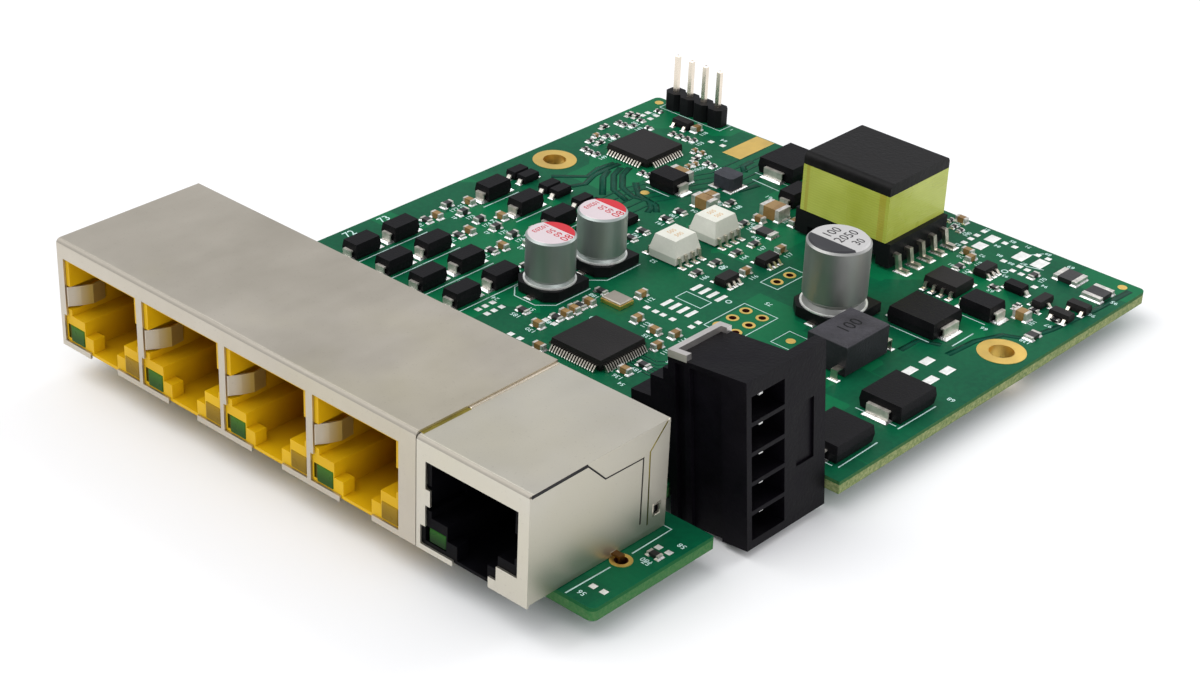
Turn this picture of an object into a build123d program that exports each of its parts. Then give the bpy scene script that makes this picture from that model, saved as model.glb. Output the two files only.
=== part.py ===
# Network switch board with five modular jacks, a stacked terminal header and its power stage.
# Millimetres, +Z up.  Origin: midpoint of the two mounting holes, on the board's top face.
# +X runs left to right along the jacks, which face -Y.
from build123d import *
import os
from math import cos, radians, sin

os.makedirs("parts", exist_ok=True)

# Driving dimensions: the board
board_left = -40.5
board_right = 40.2
board_front = -73.3
board_back = 26.2
board_thickness = 1.6
front_section_margin = 4.9
notch_front = -54.6
notch_back = -36.8
notch_inner_x = 27.5
corner_radius = 0.8
mounting_spacing = 72.6
mounting_hole_diameter = 3.2
mounting_pad_diameter = 6.0
plating_thickness = 0.05
small_hole_radius = 0.52
tail_clearance = 0.05
seat_gap = 0.1

# Driving dimensions: the jacks
jack_front = -77.7
jack_depth = 20.9
port_window_width = 12.93
port_web = 1.04
port_window_top = 11.3
port_window_bottom = 0.5
shield_thickness = 0.25
shield_skirt = 0.2
shield_leg_length = 3.3
housing_clearance = 0.05
quad_jack_left = -41.8
quad_jack_height = 13.5
quad_port_count = 4
quad_port_margin = 1.04
quad_right_margin = 2.52
jack_gap = 0.1
single_left_margin = 1.3
single_right_margin = 1.47
single_jack_height = 13.2
pocket_width = 11.7
pocket_depth = 13.0
pocket_floor = 3.95
pocket_ceiling = 10.95
latch_width = 7.1
latch_depth = 9.5
key_nub_width = 1.4
key_nub_top = 2.2
key_nub_depth = 1.6
key_floor = 0.5
finger_bow = 1.4
finger_bottom = 5.0
finger_top = 7.5
finger_reach = 4.4
finger_thickness = 0.2
light_width = 2.45
light_height = 1.75
light_bottom = 0.95
light_wall = 0.2
light_side_gap = 0.45
light_length = 9.0
light_recess = 0.35
contact_count = 8
contact_pitch = 1.02
contact_width = 0.35
contact_tip_height = 8.65

# Driving dimensions: the terminal header, which leans back from its face
header_lean = 5.3
header_face_x = 38.9
header_face_z = -3.1
header_left = -50.7
header_body_width = 8.6
header_depth = 10.6
header_height = 19.9
header_poles = 5
header_pitch = 3.5
header_pin_y = -46.0
header_pin_size = 0.8
header_first_pin = 2.5
header_cavity_width = 5.5
header_cavity_margin = 0.8
header_cavity_depth = 8.2
header_divider = 0.5
header_flange_width = 4.7
header_flange_thickness = 1.5
header_pin_clearance = 0.05

# Driving dimensions: the four-way pin header
pin_pitch = 2.54
pin_count = 4
pin_size = 0.64
pin_header_x = -32.4
pin_header_y = 25.0
pin_body_height = 2.54
pin_top = 8.1

# Driving dimensions: the transformer
transformer_x = 7.15
transformer_y = 12.85
bobbin_length = 14.9
bobbin_width = 12.4
bobbin_height = 3.3
core_length = 13.5
core_width = 12.6
core_top = 11.7
core_lid = 1.6
tape_thickness = 0.15
transformer_pins_per_side = 5

# Driving dimensions: capacitors, choke and small chips
can_diameter = 8.0
can_top = 10.2
can_x = 16.3
can_y = -6.9
polymer_diameter = 6.3
polymer_top = 7.7
polymer_base = 6.8
choke_x = 24.15
choke_y = -14.5
choke_length = 8.2
choke_width = 5.8
choke_height = 4.2
solder_gap = 0.05

hole_positions = [(-mounting_spacing / 2, 0), (mounting_spacing / 2, 0)]


def block(centre_x, centre_y, size_x, size_y, bottom, top, mode=Mode.ADD):
    """Upright block given by its centre, plan size and the heights of its two faces."""
    with BuildSketch(Plane.XY.offset(bottom)) as plan:
        with Locations((centre_x, centre_y)):
            Rectangle(size_x, size_y)
    extrude(plan.sketch, amount=top - bottom, mode=mode)


def blocks(places, size_x, size_y, bottom, top):
    """Equal upright blocks, one at each place."""
    with BuildSketch(Plane.XY.offset(bottom)) as plan:
        with Locations(*places):
            Rectangle(size_x, size_y)
    extrude(plan.sketch, amount=top - bottom)


def moulded_blocks(places, size_x, size_y, bottom, top, draft=8):
    """Moulded packages: two halves that taper away from the parting line at mid height."""
    middle = (bottom + top) / 2
    with BuildSketch(Plane.XY.offset(middle)) as seam:
        with Locations(*places):
            Rectangle(size_x, size_y)
    extrude(seam.sketch, amount=top - middle, taper=draft)
    extrude(seam.sketch, amount=bottom - middle, taper=draft)


def facing(direction):
    """Upright plane through the origin whose x axis points along direction."""
    outward = {"+x": (1, 0, 0), "-x": (-1, 0, 0), "+y": (0, 1, 0), "-y": (0, -1, 0)}[direction]
    return Plane(origin=(0, 0, 0), x_dir=outward, z_dir=(outward[1], -outward[0], 0))


def gull_leads(places, direction, edge, exit_height, reach, width, thickness=0.15):
    """Formed leads: each leaves a package at exit_height and lands flat on the board."""
    knee = edge + reach * 0.35
    heel = edge + reach * 0.5
    with BuildSketch(facing(direction).offset(-width / 2)) as profile:
        with BuildLine():
            Polyline(
                (edge, exit_height),
                (knee, exit_height),
                (heel, solder_gap + thickness),
                (edge + reach, solder_gap + thickness),
                (edge + reach, solder_gap),
                (heel - thickness, solder_gap),
                (knee - thickness, exit_height - thickness),
                (edge, exit_height - thickness),
                close=True,
            )
        make_face()
    lead = extrude(profile.sketch, amount=width, mode=Mode.PRIVATE)
    with Locations(*places):
        add(lead, clean=False)


def short_leads(places, direction, edge, exit_height, reach, width, thickness=0.15):
    """Leads of small packages: flat at exit_height, then straight down to the toe on the board."""
    with BuildSketch(facing(direction).offset(-width / 2)) as profile:
        with BuildLine():
            Polyline(
                (edge, exit_height),
                (edge + reach * 0.35, exit_height),
                (edge + reach, solder_gap + thickness),
                (edge + reach, solder_gap),
                (edge + reach * 0.55, solder_gap),
                (edge, exit_height - thickness),
                close=True,
            )
        make_face()
    lead = extrude(profile.sketch, amount=width, mode=Mode.PRIVATE)
    with Locations(*places):
        add(lead, clean=False)


def strap_terminals(places, direction, edge, exit_height, reach, width, thickness=0.2):
    """Strap terminals: each leaves a body at mid height and drops down its end to the board."""
    with BuildSketch(facing(direction).offset(-width / 2)) as profile:
        with BuildLine():
            Polyline(
                (edge, exit_height),
                (edge + reach, exit_height),
                (edge + reach, solder_gap),
                (edge + reach - thickness, solder_gap),
                (edge + reach - thickness, exit_height - thickness),
                (edge, exit_height - thickness),
                close=True,
            )
        make_face()
    terminal = extrude(profile.sketch, amount=width, mode=Mode.PRIVATE)
    with Locations(*places):
        add(terminal, clean=False)


# Where the jacks' ports are, and where their shields' legs go through the board
port_pitch = port_window_width + port_web
quad_windows_width = quad_port_count * port_pitch - port_web
quad_jack_width = quad_port_margin + quad_windows_width + quad_right_margin
first_port_centre = quad_jack_left + quad_port_margin + port_window_width / 2
quad_port_centres = [first_port_centre + port_pitch * port for port in range(quad_port_count)]
quad_jack_right = quad_jack_left + quad_jack_width
quad_leg_width = 1.6
quad_legs = [
    (x, y)
    for x in (quad_jack_left + shield_thickness / 2, quad_jack_right - shield_thickness / 2)
    for y in (jack_front + 8.2, jack_front + 17.6)
]
quad_board_legs = [place for place in quad_legs if place[0] > board_left]
single_leg_width = 0.8
single_leg_y = jack_front + 12.85
single_jack_left = quad_jack_right + jack_gap
single_jack_width = single_left_margin + port_window_width + single_right_margin
single_port_centre = single_jack_left + single_left_margin + port_window_width / 2
single_jack_right = single_jack_left + single_jack_width
single_legs = [(single_jack_left + shield_thickness / 2, single_leg_y)]
front_section_right = single_jack_right + front_section_margin
ring_hole_x = single_jack_right + 1.1
ring_hole_radius = 0.8

# Local frame of the leaning header: x out of the mating face, z up the stack of poles
lean = radians(header_lean)
header_frame = Plane(
    origin=(header_face_x, 0, header_face_z),
    x_dir=(cos(lean), 0, sin(lean)),
    z_dir=(-sin(lean), 0, cos(lean)),
)
header_right = header_left + header_body_width
header_drop_pitch = 1.1
header_drops = [26.9 - header_drop_pitch * pole for pole in range(header_poles)]
header_tail_size = 0.6
header_tail_end = -board_thickness - 1.3

pin_places = [pin_header_x + pin_pitch * (index - (pin_count - 1) / 2) for index in range(pin_count)]

# Circuit board: notched on the right for the header, drilled and slotted for the tails
with BuildPart() as circuit_board:
    with BuildSketch(Plane.XY.offset(-board_thickness)) as board_outline:
        with BuildLine():
            Polyline(
                (board_left, board_front),
                (front_section_right, board_front),
                (front_section_right, notch_front),
                (notch_inner_x, notch_front),
                (notch_inner_x, notch_back),
                (board_right, notch_back),
                (board_right, board_back),
                (board_left, board_back),
                close=True,
            )
        make_face()
        corners = board_outline.vertices().group_by(Axis.Y)
        fillet(corners[0] + corners[-1], radius=corner_radius)
        with Locations(*hole_positions):
            Circle(mounting_hole_diameter / 2, mode=Mode.SUBTRACT)
        leg_slot = shield_thickness + 2 * tail_clearance
        for places, leg_width in ((quad_board_legs, quad_leg_width), (single_legs, single_leg_width)):
            with Locations(*places):
                Rectangle(leg_slot, leg_width + 2 * tail_clearance, mode=Mode.SUBTRACT)
        with Locations((ring_hole_x, single_leg_y)):
            RegularPolygon(ring_hole_radius, 12, mode=Mode.SUBTRACT)
        with Locations(*[(x, header_pin_y) for x in header_drops]):
            header_hole = header_tail_size + 2 * tail_clearance
            Rectangle(header_hole, header_hole, mode=Mode.SUBTRACT)
        with Locations(*[(x, pin_header_y) for x in pin_places]):
            Rectangle(pin_size + 2 * tail_clearance, pin_size + 2 * tail_clearance, mode=Mode.SUBTRACT)
        with Locations((10.0, -16.8)):
            with GridLocations(pin_pitch, pin_pitch, 2, 3):
                RegularPolygon(small_hole_radius, 8, mode=Mode.SUBTRACT)
        with Locations((6.7, -4.4)):
            with GridLocations(pin_pitch, pin_pitch, 1, 2):
                RegularPolygon(small_hole_radius, 8, mode=Mode.SUBTRACT)
    extrude(amount=board_thickness)

# Mounting hole pads: a plated ring round each hole on the component side
with BuildPart() as mounting_hole_plating:
    with BuildSketch():
        with Locations(*hole_positions):
            Circle(mounting_pad_diameter / 2)
            Circle(mounting_hole_diameter / 2, mode=Mode.SUBTRACT)
    extrude(amount=plating_thickness)


def port_window(centre):
    """Outline of one port in the quad shield's front, with the open key slot below it."""
    half = port_window_width / 2
    key_half = latch_width / 2 - key_nub_width + 0.3
    return [
        (centre - half, port_window_top),
        (centre - half, pocket_floor),
        (centre - half - light_side_gap, pocket_floor),
        (centre - half - light_side_gap, port_window_bottom),
        (centre - key_half, port_window_bottom),
        (centre - key_half, -1.0),
        (centre + key_half, -1.0),
        (centre + key_half, port_window_bottom),
        (centre + half, port_window_bottom),
        (centre + half, port_window_top),
    ]


def spring_finger(edge_x, side):
    """Grounding finger folded in from a window's edge; side is +1 when it bows towards +X."""
    front = jack_front + shield_thickness
    middle = front + finger_reach * 0.6
    tip = front + finger_reach
    tip_bow = finger_bow * 0.9
    with BuildSketch(Plane.XY.offset(finger_bottom)) as strip:
        with BuildLine() as outline:
            Polyline(
                (edge_x, front),
                (edge_x + side * finger_bow * 0.6, front + finger_reach * 0.3),
                (edge_x + side * finger_bow, middle),
                (edge_x + side * tip_bow, tip),
                (edge_x + side * (tip_bow - finger_thickness), tip),
                (edge_x + side * (finger_bow - finger_thickness), middle),
                (edge_x - side * finger_thickness, front),
                close=True,
            )
        make_face(outline.edges())
    extrude(strip.sketch, amount=finger_top - finger_bottom)


def shield(left, width, height, windows, legs, leg_width):
    """Folded sheet shield: open underneath, with port windows and straight solder legs."""
    right = left + width
    back = jack_front + jack_depth
    centre_x = (left + right) / 2
    centre_y = (jack_front + back) / 2
    block(centre_x, centre_y, width, jack_depth, seat_gap, height)
    top_front = edges().filter_by(Axis.X).group_by(Axis.Z)[-1].sort_by(Axis.Y)[0]
    fillet(top_front, radius=0.6)
    block(
        centre_x,
        centre_y,
        width - 2 * shield_thickness,
        jack_depth - 2 * shield_thickness,
        seat_gap - 1,
        height - shield_thickness,
        mode=Mode.SUBTRACT,
    )
    skirt_y = jack_front + shield_thickness / 2
    block(centre_x, skirt_y, width, shield_thickness, -shield_skirt, seat_gap)
    for corners in windows:
        with BuildSketch(Plane(origin=(0, jack_front, 0), x_dir=(1, 0, 0), z_dir=(0, -1, 0))) as window:
            with BuildLine() as outline:
                Polyline(*corners, close=True)
            make_face(outline.edges())
        extrude(window.sketch, amount=-shield_thickness, mode=Mode.SUBTRACT)
    for leg_x, leg_y in legs:
        block(leg_x, leg_y, shield_thickness, leg_width, -shield_leg_length, seat_gap)


def housing(left, width, height, port_centres):
    """Moulded insulator that fills a shield, with a plug pocket and two light slots per port."""
    gap = shield_thickness + housing_clearance
    front = jack_front + gap
    back = jack_front + jack_depth - gap
    centre_y = (front + back) / 2
    block(left + width / 2, centre_y, width - 2 * gap, back - front, seat_gap, height - gap)
    front_plane = Plane(origin=(0, front, 0), x_dir=(1, 0, 0), z_dir=(0, -1, 0))
    with BuildSketch(front_plane) as pockets:
        for port_centre in port_centres:
            with Locations((port_centre, (pocket_floor + pocket_ceiling) / 2)):
                Rectangle(pocket_width, pocket_ceiling - pocket_floor)
    extrude(pockets.sketch, amount=-pocket_depth, mode=Mode.SUBTRACT)
    with BuildSketch(front_plane) as latches:
        for port_centre in port_centres:
            with Locations((port_centre, (key_nub_top + pocket_floor) / 2)):
                Rectangle(latch_width, pocket_floor - key_nub_top)
            with Locations((port_centre, (key_floor + key_nub_top) / 2)):
                Rectangle(latch_width - 2 * key_nub_width, key_nub_top - key_floor)
    extrude(latches.sketch, amount=-latch_depth, mode=Mode.SUBTRACT)
    with BuildSketch(front_plane.offset(-key_nub_depth)) as behind_nubs:
        for port_centre in port_centres:
            with Locations((port_centre, (key_floor + key_nub_top) / 2)):
                Rectangle(latch_width, key_nub_top - key_floor)
    extrude(behind_nubs.sketch, amount=key_nub_depth - latch_depth, mode=Mode.SUBTRACT)
    with BuildSketch(front_plane) as finger_rooms:
        for port_centre in port_centres:
            with Locations((port_centre, (finger_bottom + finger_top) / 2)):
                Rectangle(port_window_width + 0.5, finger_top - finger_bottom + 0.5)
    extrude(finger_rooms.sketch, amount=-finger_reach - 0.6, mode=Mode.SUBTRACT)
    with BuildSketch(front_plane) as light_slots:
        slot_width = light_width + 2 * housing_clearance + light_side_gap
        for port_centre in port_centres:
            left_light, right_light = light_places(port_centre)
            for (x, z), side in ((left_light, -1), (right_light, 1)):
                with Locations((x + side * light_side_gap / 2, z)):
                    Rectangle(slot_width, light_height + 2 * housing_clearance)
    extrude(light_slots.sketch, amount=-light_length - light_recess, mode=Mode.SUBTRACT)


def light_places(port_centre):
    """Centres of the left and right light pipes in a port's front view."""
    offset = (latch_width + light_width) / 2 + light_wall
    height = light_bottom + light_height / 2
    return [(port_centre - offset, height), (port_centre + offset, height)]


def light_pipe(place):
    """Light pipe lying in its slot, set back from the shield."""
    front = jack_front + shield_thickness + housing_clearance + light_recess
    with BuildSketch(Plane(origin=(0, front, 0), x_dir=(1, 0, 0), z_dir=(0, -1, 0))) as end:
        with Locations(place):
            Rectangle(light_width, light_height)
    extrude(end.sketch, amount=-light_length + light_recess)


def contact_springs(port_centre):
    """Eight wire springs that hang from the pocket's ceiling and slope down into it."""
    root = jack_front + 3.0
    tip = jack_front + pocket_depth - 0.6
    with BuildSketch(Plane(origin=(-contact_width / 2, 0, 0), x_dir=(0, 1, 0), z_dir=(1, 0, 0))) as wire:
        with BuildLine():
            Polyline(
                (root, pocket_ceiling),
                (root + 1.2, pocket_ceiling),
                (tip, contact_tip_height + 0.3),
                (tip, contact_tip_height),
                close=True,
            )
        make_face()
    spring = extrude(wire.sketch, amount=contact_width, mode=Mode.PRIVATE)
    first = port_centre - contact_pitch * (contact_count - 1) / 2
    with Locations(*[(first + contact_pitch * index, 0) for index in range(contact_count)]):
        add(spring, clean=False)


# Four-port jack
with BuildPart() as quad_jack_shield:
    quad_windows = [port_window(centre) for centre in quad_port_centres]
    shield(quad_jack_left, quad_jack_width, quad_jack_height, quad_windows, quad_legs, quad_leg_width)
    for centre in quad_port_centres:
        spring_finger(centre - port_window_width / 2, 1)
        spring_finger(centre + port_window_width / 2, -1)

with BuildPart() as quad_jack_housing:
    housing(quad_jack_left, quad_jack_width, quad_jack_height, quad_port_centres)

with BuildPart() as quad_jack_contacts:
    for centre in quad_port_centres:
        contact_springs(centre)

with BuildPart() as quad_jack_green_lights:
    for centre in quad_port_centres:
        light_pipe(light_places(centre)[0])

with BuildPart() as quad_jack_amber_lights:
    for centre in quad_port_centres:
        light_pipe(light_places(centre)[1])

# Single jack: its front hides the right light, its right wall shows the folded sheet's seams,
# and one leg bends outwards into a ringed hole
with BuildPart() as single_jack_shield:
    window_left = single_port_centre - port_window_width / 2
    window_right = single_port_centre + port_window_width / 2
    single_window = [
        (window_left, 10.65),
        (window_left, 7.35),
        (window_left + 0.67, 7.35),
        (window_left + 0.67, 5.4),
        (window_left, 5.4),
        (window_left, 2.8),
        (window_left - 0.7, 2.8),
        (window_left - 0.7, 0.45),
        (window_left + 3.9, 0.45),
        (window_left + 3.9, -1.0),
        (window_right - 3.97, -1.0),
        (window_right - 3.97, 1.1),
        (window_right - 2.89, 1.1),
        (window_right - 2.89, 2.8),
        (window_right, 2.8),
        (window_right, 10.65),
    ]
    shield(
        single_jack_left,
        single_jack_width,
        single_jack_height,
        [single_window],
        single_legs,
        single_leg_width,
    )
    leg_bend = 0.4
    bend_top = leg_bend + shield_thickness
    leg_out = ring_hole_x + shield_thickness / 2
    leg_in = single_jack_right - shield_thickness
    block((leg_in + leg_out) / 2, single_leg_y, leg_out - leg_in, single_leg_width, leg_bend, bend_top)
    block(ring_hole_x, single_leg_y, shield_thickness, single_leg_width, -shield_leg_length, leg_bend)
    wall_plane = Plane(origin=(single_jack_right, jack_front, 0), x_dir=(0, 1, 0), z_dir=(1, 0, 0))
    for seam in (
        ((-0.1, 12.9), (8.3, 12.95), (11.1, 10.2), (jack_depth - 4.0, 10.1), (jack_depth - 4.0, 2.0)),
        ((jack_depth - 0.1, 13.4), (jack_depth - 3.0, 10.4), (jack_depth - 2.85, 1.4)),
    ):
        with BuildSketch(wall_plane):
            with BuildLine():
                Polyline(*seam)
            trace(line_width=0.2)
        extrude(amount=-shield_thickness / 2, mode=Mode.SUBTRACT)
    with BuildSketch(wall_plane):
        with Locations((jack_depth - 1.5, 2.8)):
            Rectangle(0.8, 1.1)
    extrude(amount=-shield_thickness, mode=Mode.SUBTRACT)

with BuildPart() as single_jack_housing:
    housing(single_jack_left, single_jack_width, single_jack_height, [single_port_centre])

with BuildPart() as single_jack_contacts:
    contact_springs(single_port_centre)

with BuildPart() as single_jack_lights:
    for place in light_places(single_port_centre):
        light_pipe(place)


def header_block(back, front, left, right, bottom, top, mode=Mode.ADD):
    """Block in the header's leaning frame, given by its six faces."""
    with BuildSketch(header_frame.offset(bottom)) as plan:
        with Locations(((back + front) / 2, (left + right) / 2)):
            Rectangle(front - back, right - left)
    extrude(plan.sketch, amount=top - bottom, mode=mode)


# Terminal header: five stacked cells, a side flange and the stepped guide for its bent pins
cavity_left = header_left + header_cavity_margin
cavity_right = cavity_left + header_cavity_width
comb_bottom = 5.2
comb_steps = [(-10.7 - 0.6, 18.3), (-13.1, 16.9), (-15.9, 14.3), (-17.1, 11.6)]
comb_half_width = 3.4
slot_half = header_pin_size / 2 + header_pin_clearance
staple_width = 0.8
staple_seat = 0.15
staple_rise = 0.7
staple_front = -header_depth + staple_width
staple_strips = [
    (-header_depth, staple_front, header_left, header_right),
    (staple_front, -header_depth + 2.6, header_left, header_left + staple_width),
    (staple_front, -header_depth + 1.6, header_right - staple_width, header_right),
]
with BuildPart() as terminal_header_housing:
    header_block(-header_depth, 0, header_left, header_right, 0, header_height)
    flange_right = header_right + header_flange_width
    header_block(-header_flange_thickness, 0, header_right, flange_right, 0, header_height)
    step_front = -header_depth
    for step_back, step_top in comb_steps:
        header_block(
            step_back, step_front, header_left, header_pin_y + comb_half_width, comb_bottom, step_top
        )
        step_front = step_back
    for pole in range(header_poles):
        cell_middle = header_first_pin + header_pitch * pole
        half_cell = (header_pitch - header_divider) / 2
        header_block(
            -header_cavity_depth,
            0,
            cavity_left,
            cavity_right,
            cell_middle - half_cell,
            cell_middle + half_cell,
            mode=Mode.SUBTRACT,
        )
    groove_floor = header_left + 0.5
    groove_top = header_height - 0.6
    for back, front in ((-9.6, -8.4), (-7.6, -3.4)):
        header_block(back, front, header_left - 1, groove_floor, -1, groove_top, mode=Mode.SUBTRACT)
    header_block(
        comb_steps[-1][0] - 1,
        -header_cavity_depth + 0.1,
        header_pin_y - slot_half,
        header_pin_y + slot_half,
        header_first_pin - 1,
        header_first_pin + header_pitch * (header_poles - 1) + 0.6,
        mode=Mode.SUBTRACT,
    )
    header_block(-0.3, 0.5, -42.4, -39.4, 6.7, 14.0, mode=Mode.SUBTRACT)
    for strip in staple_strips:
        header_block(*strip, header_height - staple_seat, header_height + 1, mode=Mode.SUBTRACT)

# Terminal pins: straight in the cell, sloped behind it, then down through the board
with BuildPart() as terminal_header_pins:
    pin_tip = -1.9
    bend = -header_cavity_depth - 0.2
    knee_run = 1.2
    shoulder_first = 1.5
    shoulder_step = 1.8
    pin_plane = Plane(
        origin=(header_face_x, header_pin_y, header_face_z), x_dir=header_frame.x_dir, z_dir=(0, -1, 0)
    )
    for pole, drop_x in enumerate(header_drops):
        height = header_first_pin + header_pitch * pole
        shoulder_z = shoulder_first + shoulder_step * pole
        turns = []
        corners = [(drop_x + knee_run, shoulder_z), (drop_x, shoulder_z), (drop_x, header_tail_end)]
        for turn_x, turn_z in corners:
            turn = pin_plane.to_local_coords(Vector(turn_x, header_pin_y, turn_z))
            turns.append((turn.X, turn.Y))
        with BuildSketch(pin_plane.offset(-header_tail_size / 2)):
            with BuildLine():
                Polyline((pin_tip, height), (bend, height), *turns)
            trace(line_width=header_tail_size)
        extrude(amount=header_tail_size)

# Metal staple in a groove round the header's upper rear edge
with BuildPart() as terminal_header_clip:
    for strip in staple_strips:
        header_block(*strip, header_height - staple_seat, header_height + staple_rise)

# Four-way pin header
with BuildPart() as pin_header_body:
    with BuildSketch(Plane.XY.offset(seat_gap)):
        with Locations(*[(x, pin_header_y) for x in pin_places]):
            Rectangle(pin_pitch, pin_pitch - 0.04)
    extrude(amount=pin_body_height)
    with BuildSketch(Plane.XY.offset(seat_gap)):
        notch = pin_pitch / 2
        gaps = [pin_places[0] - notch + pin_pitch * step for step in range(pin_count + 1)]
        with Locations(*[(x, pin_header_y + side * notch) for x in gaps for side in (-1, 1)]):
            Rectangle(0.9, 0.9, rotation=45)
    extrude(amount=pin_body_height, mode=Mode.SUBTRACT)
    with BuildSketch(Plane.XY.offset(seat_gap)):
        with Locations(*[(x, pin_header_y) for x in pin_places]):
            Rectangle(pin_size, pin_size)
    extrude(amount=pin_body_height, mode=Mode.SUBTRACT)

with BuildPart() as pin_header_pins:
    with BuildSketch(Plane.XY.offset(-3.0)):
        with Locations(*[(x, pin_header_y) for x in pin_places]):
            Rectangle(pin_size, pin_size)
    extrude(amount=pin_top + 3.0)
    chamfer(faces().group_by(Axis.Z)[-1].edges(), length=0.15)

# Transformer: bobbin, ferrite core, tape round the core and ten formed pins
bobbin_bottom = 0.4
bobbin_top = bobbin_bottom + bobbin_height
with BuildPart() as transformer_bobbin:
    block(transformer_x, transformer_y, bobbin_length, bobbin_width, bobbin_bottom, bobbin_top)
    tunnel = bobbin_length - 4
    tunnel_top = 1.6
    block(
        transformer_x,
        transformer_y,
        tunnel,
        bobbin_width + 1,
        bobbin_bottom,
        tunnel_top,
        mode=Mode.SUBTRACT,
    )

with BuildPart() as transformer_core:
    lid_bottom = core_top - core_lid
    block(
        transformer_x,
        transformer_y,
        core_length - 2 * tape_thickness,
        core_width - 2 * tape_thickness,
        bobbin_top,
        lid_bottom,
    )
    block(transformer_x, transformer_y, core_length, core_width, lid_bottom, core_top)
    fillet(edges().filter_by(Axis.X).group_by(Axis.Z)[-1], radius=0.8)

with BuildPart() as transformer_tape:
    with BuildSketch(Plane.XY.offset(bobbin_top)):
        with Locations((transformer_x, transformer_y)):
            Rectangle(core_length, core_width)
            Rectangle(core_length - 2 * tape_thickness, core_width - 2 * tape_thickness, mode=Mode.SUBTRACT)
    extrude(amount=lid_bottom - bobbin_top)

# The hidden row has one pin fewer: a chip capacitor stands where its first would be
with BuildPart() as transformer_pins:
    pin_rows = [transformer_y + pin_pitch * (index - 2) for index in range(transformer_pins_per_side)]
    for direction, rows in (("+x", pin_rows), ("-x", pin_rows[1:])):
        sites = [(transformer_x, row) for row in rows]
        gull_leads(sites, direction, bobbin_length / 2, 2.3, 2.3, 0.7, thickness=0.45)

# Electrolytic capacitor: rolled can with a bead near its foot, on a square base
with BuildPart() as electrolytic_can:
    radius = can_diameter / 2
    foot = 1.5
    with BuildSketch(Plane(origin=(can_x, can_y, 0), x_dir=(1, 0, 0), z_dir=(0, -1, 0))):
        with BuildLine():
            Polyline(
                (0, foot),
                (radius, foot),
                (radius - 0.4, foot + 0.8),
                (radius, foot + 1.4),
                (radius, can_top - 0.45),
                (radius - 0.45, can_top),
                (0, can_top),
                close=True,
            )
        make_face()
    revolve(axis=Axis((can_x, can_y, 0), (0, 0, 1)))


def capacitor_base(x, y, size):
    """Square moulded base with two cut corners at -Y."""
    half = size / 2
    cut = size * 0.2
    with BuildSketch(Plane.XY.offset(0.2)) as base:
        with BuildLine():
            Polyline(
                (x - half, y + half),
                (x + half, y + half),
                (x + half, y - half + cut),
                (x + half - cut, y - half),
                (x - half + cut, y - half),
                (x - half, y - half + cut),
                close=True,
            )
        make_face()
    extrude(base.sketch, amount=1.3)


with BuildPart() as electrolytic_base:
    capacitor_base(can_x, can_y, can_diameter + 0.3)


def capacitor_leads(x, y, size, width):
    """Flat leads that run out from under the base at both ends."""
    for side in (-1, 1):
        block(x, y + side * (size / 2 - 0.4), width, 1.7, solder_gap, 0.2)


with BuildPart() as electrolytic_leads:
    capacitor_leads(can_x, can_y, can_diameter + 0.3, 0.9)

# Polymer capacitors
polymer_places = [(-11.7, -27.3), (-11.7, -18.0)]
with BuildPart() as polymer_cans:
    for x, y in polymer_places:
        radius = polymer_diameter / 2
        foot = 1.5
        with BuildSketch(Plane(origin=(x, y, 0), x_dir=(1, 0, 0), z_dir=(0, -1, 0))):
            with BuildLine():
                Polyline(
                    (0, foot),
                    (radius, foot),
                    (radius - 0.3, foot + 0.5),
                    (radius, foot + 0.9),
                    (radius, polymer_top - 0.3),
                    (radius - 0.3, polymer_top),
                    (0, polymer_top),
                    close=True,
                )
            make_face()
        revolve(axis=Axis((x, y, 0), (0, 0, 1)))

with BuildPart() as polymer_bases:
    for x, y in polymer_places:
        capacitor_base(x, y, polymer_base)

with BuildPart() as polymer_leads:
    for x, y in polymer_places:
        capacitor_leads(x, y, polymer_base, 0.8)

# Common-mode choke with four side terminals
with BuildPart() as choke_body:
    block(choke_x, choke_y, choke_width, choke_length, 0.2, choke_height)
    chamfer(edges().group_by(Axis.Z)[-1], length=0.25)

with BuildPart() as choke_terminals:
    choke_sites = [(choke_x - 2.2, choke_y), (choke_x + 2.2, choke_y)]
    for direction in ("-y", "+y"):
        strap_terminals(choke_sites, direction, choke_length / 2, 1.4, 1.3, 0.9, thickness=0.15)

# Optocouplers: tapered white packages with four leads a side
opto_places = [(-6.7, -9.65), (-6.7, -1.85)]
opto_seam = 1.25
with BuildPart() as optocoupler_bodies:
    with BuildSketch(Plane.XY.offset(opto_seam)) as opto_outline:
        with Locations(*opto_places):
            Rectangle(4.4, 4.9)
    extrude(opto_outline.sketch, amount=2.05, taper=14)
    extrude(opto_outline.sketch, amount=-1.05, taper=6)


def lead_row(centres, direction, count, pitch):
    """Centre-line sites of a row of leads on one side of each chip."""
    along = (0, 1) if direction in ("+x", "-x") else (1, 0)
    offsets = [pitch * (index - (count - 1) / 2) for index in range(count)]
    return [(x + along[0] * offset, y + along[1] * offset) for x, y in centres for offset in offsets]


with BuildPart() as optocoupler_leads:
    for direction in ("-x", "+x"):
        gull_leads(lead_row(opto_places, direction, 4, 1.27), direction, 2.2, 1.3, 1.1, 0.4)

# Switch chip and controller: square packages with leads on four sides
switch_chip = (2.45, -34.1)
switch_chip_size = 7.9
switch_chip_leads_per_side = 18
switch_chip_lead_pitch = 0.4
controller = (-29.45, 10.65)
controller_length_x = 7.2
controller_length_y = 7.4
with BuildPart() as switch_chip_body:
    moulded_blocks([switch_chip], switch_chip_size, switch_chip_size, 0.1, 1.5)

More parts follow.
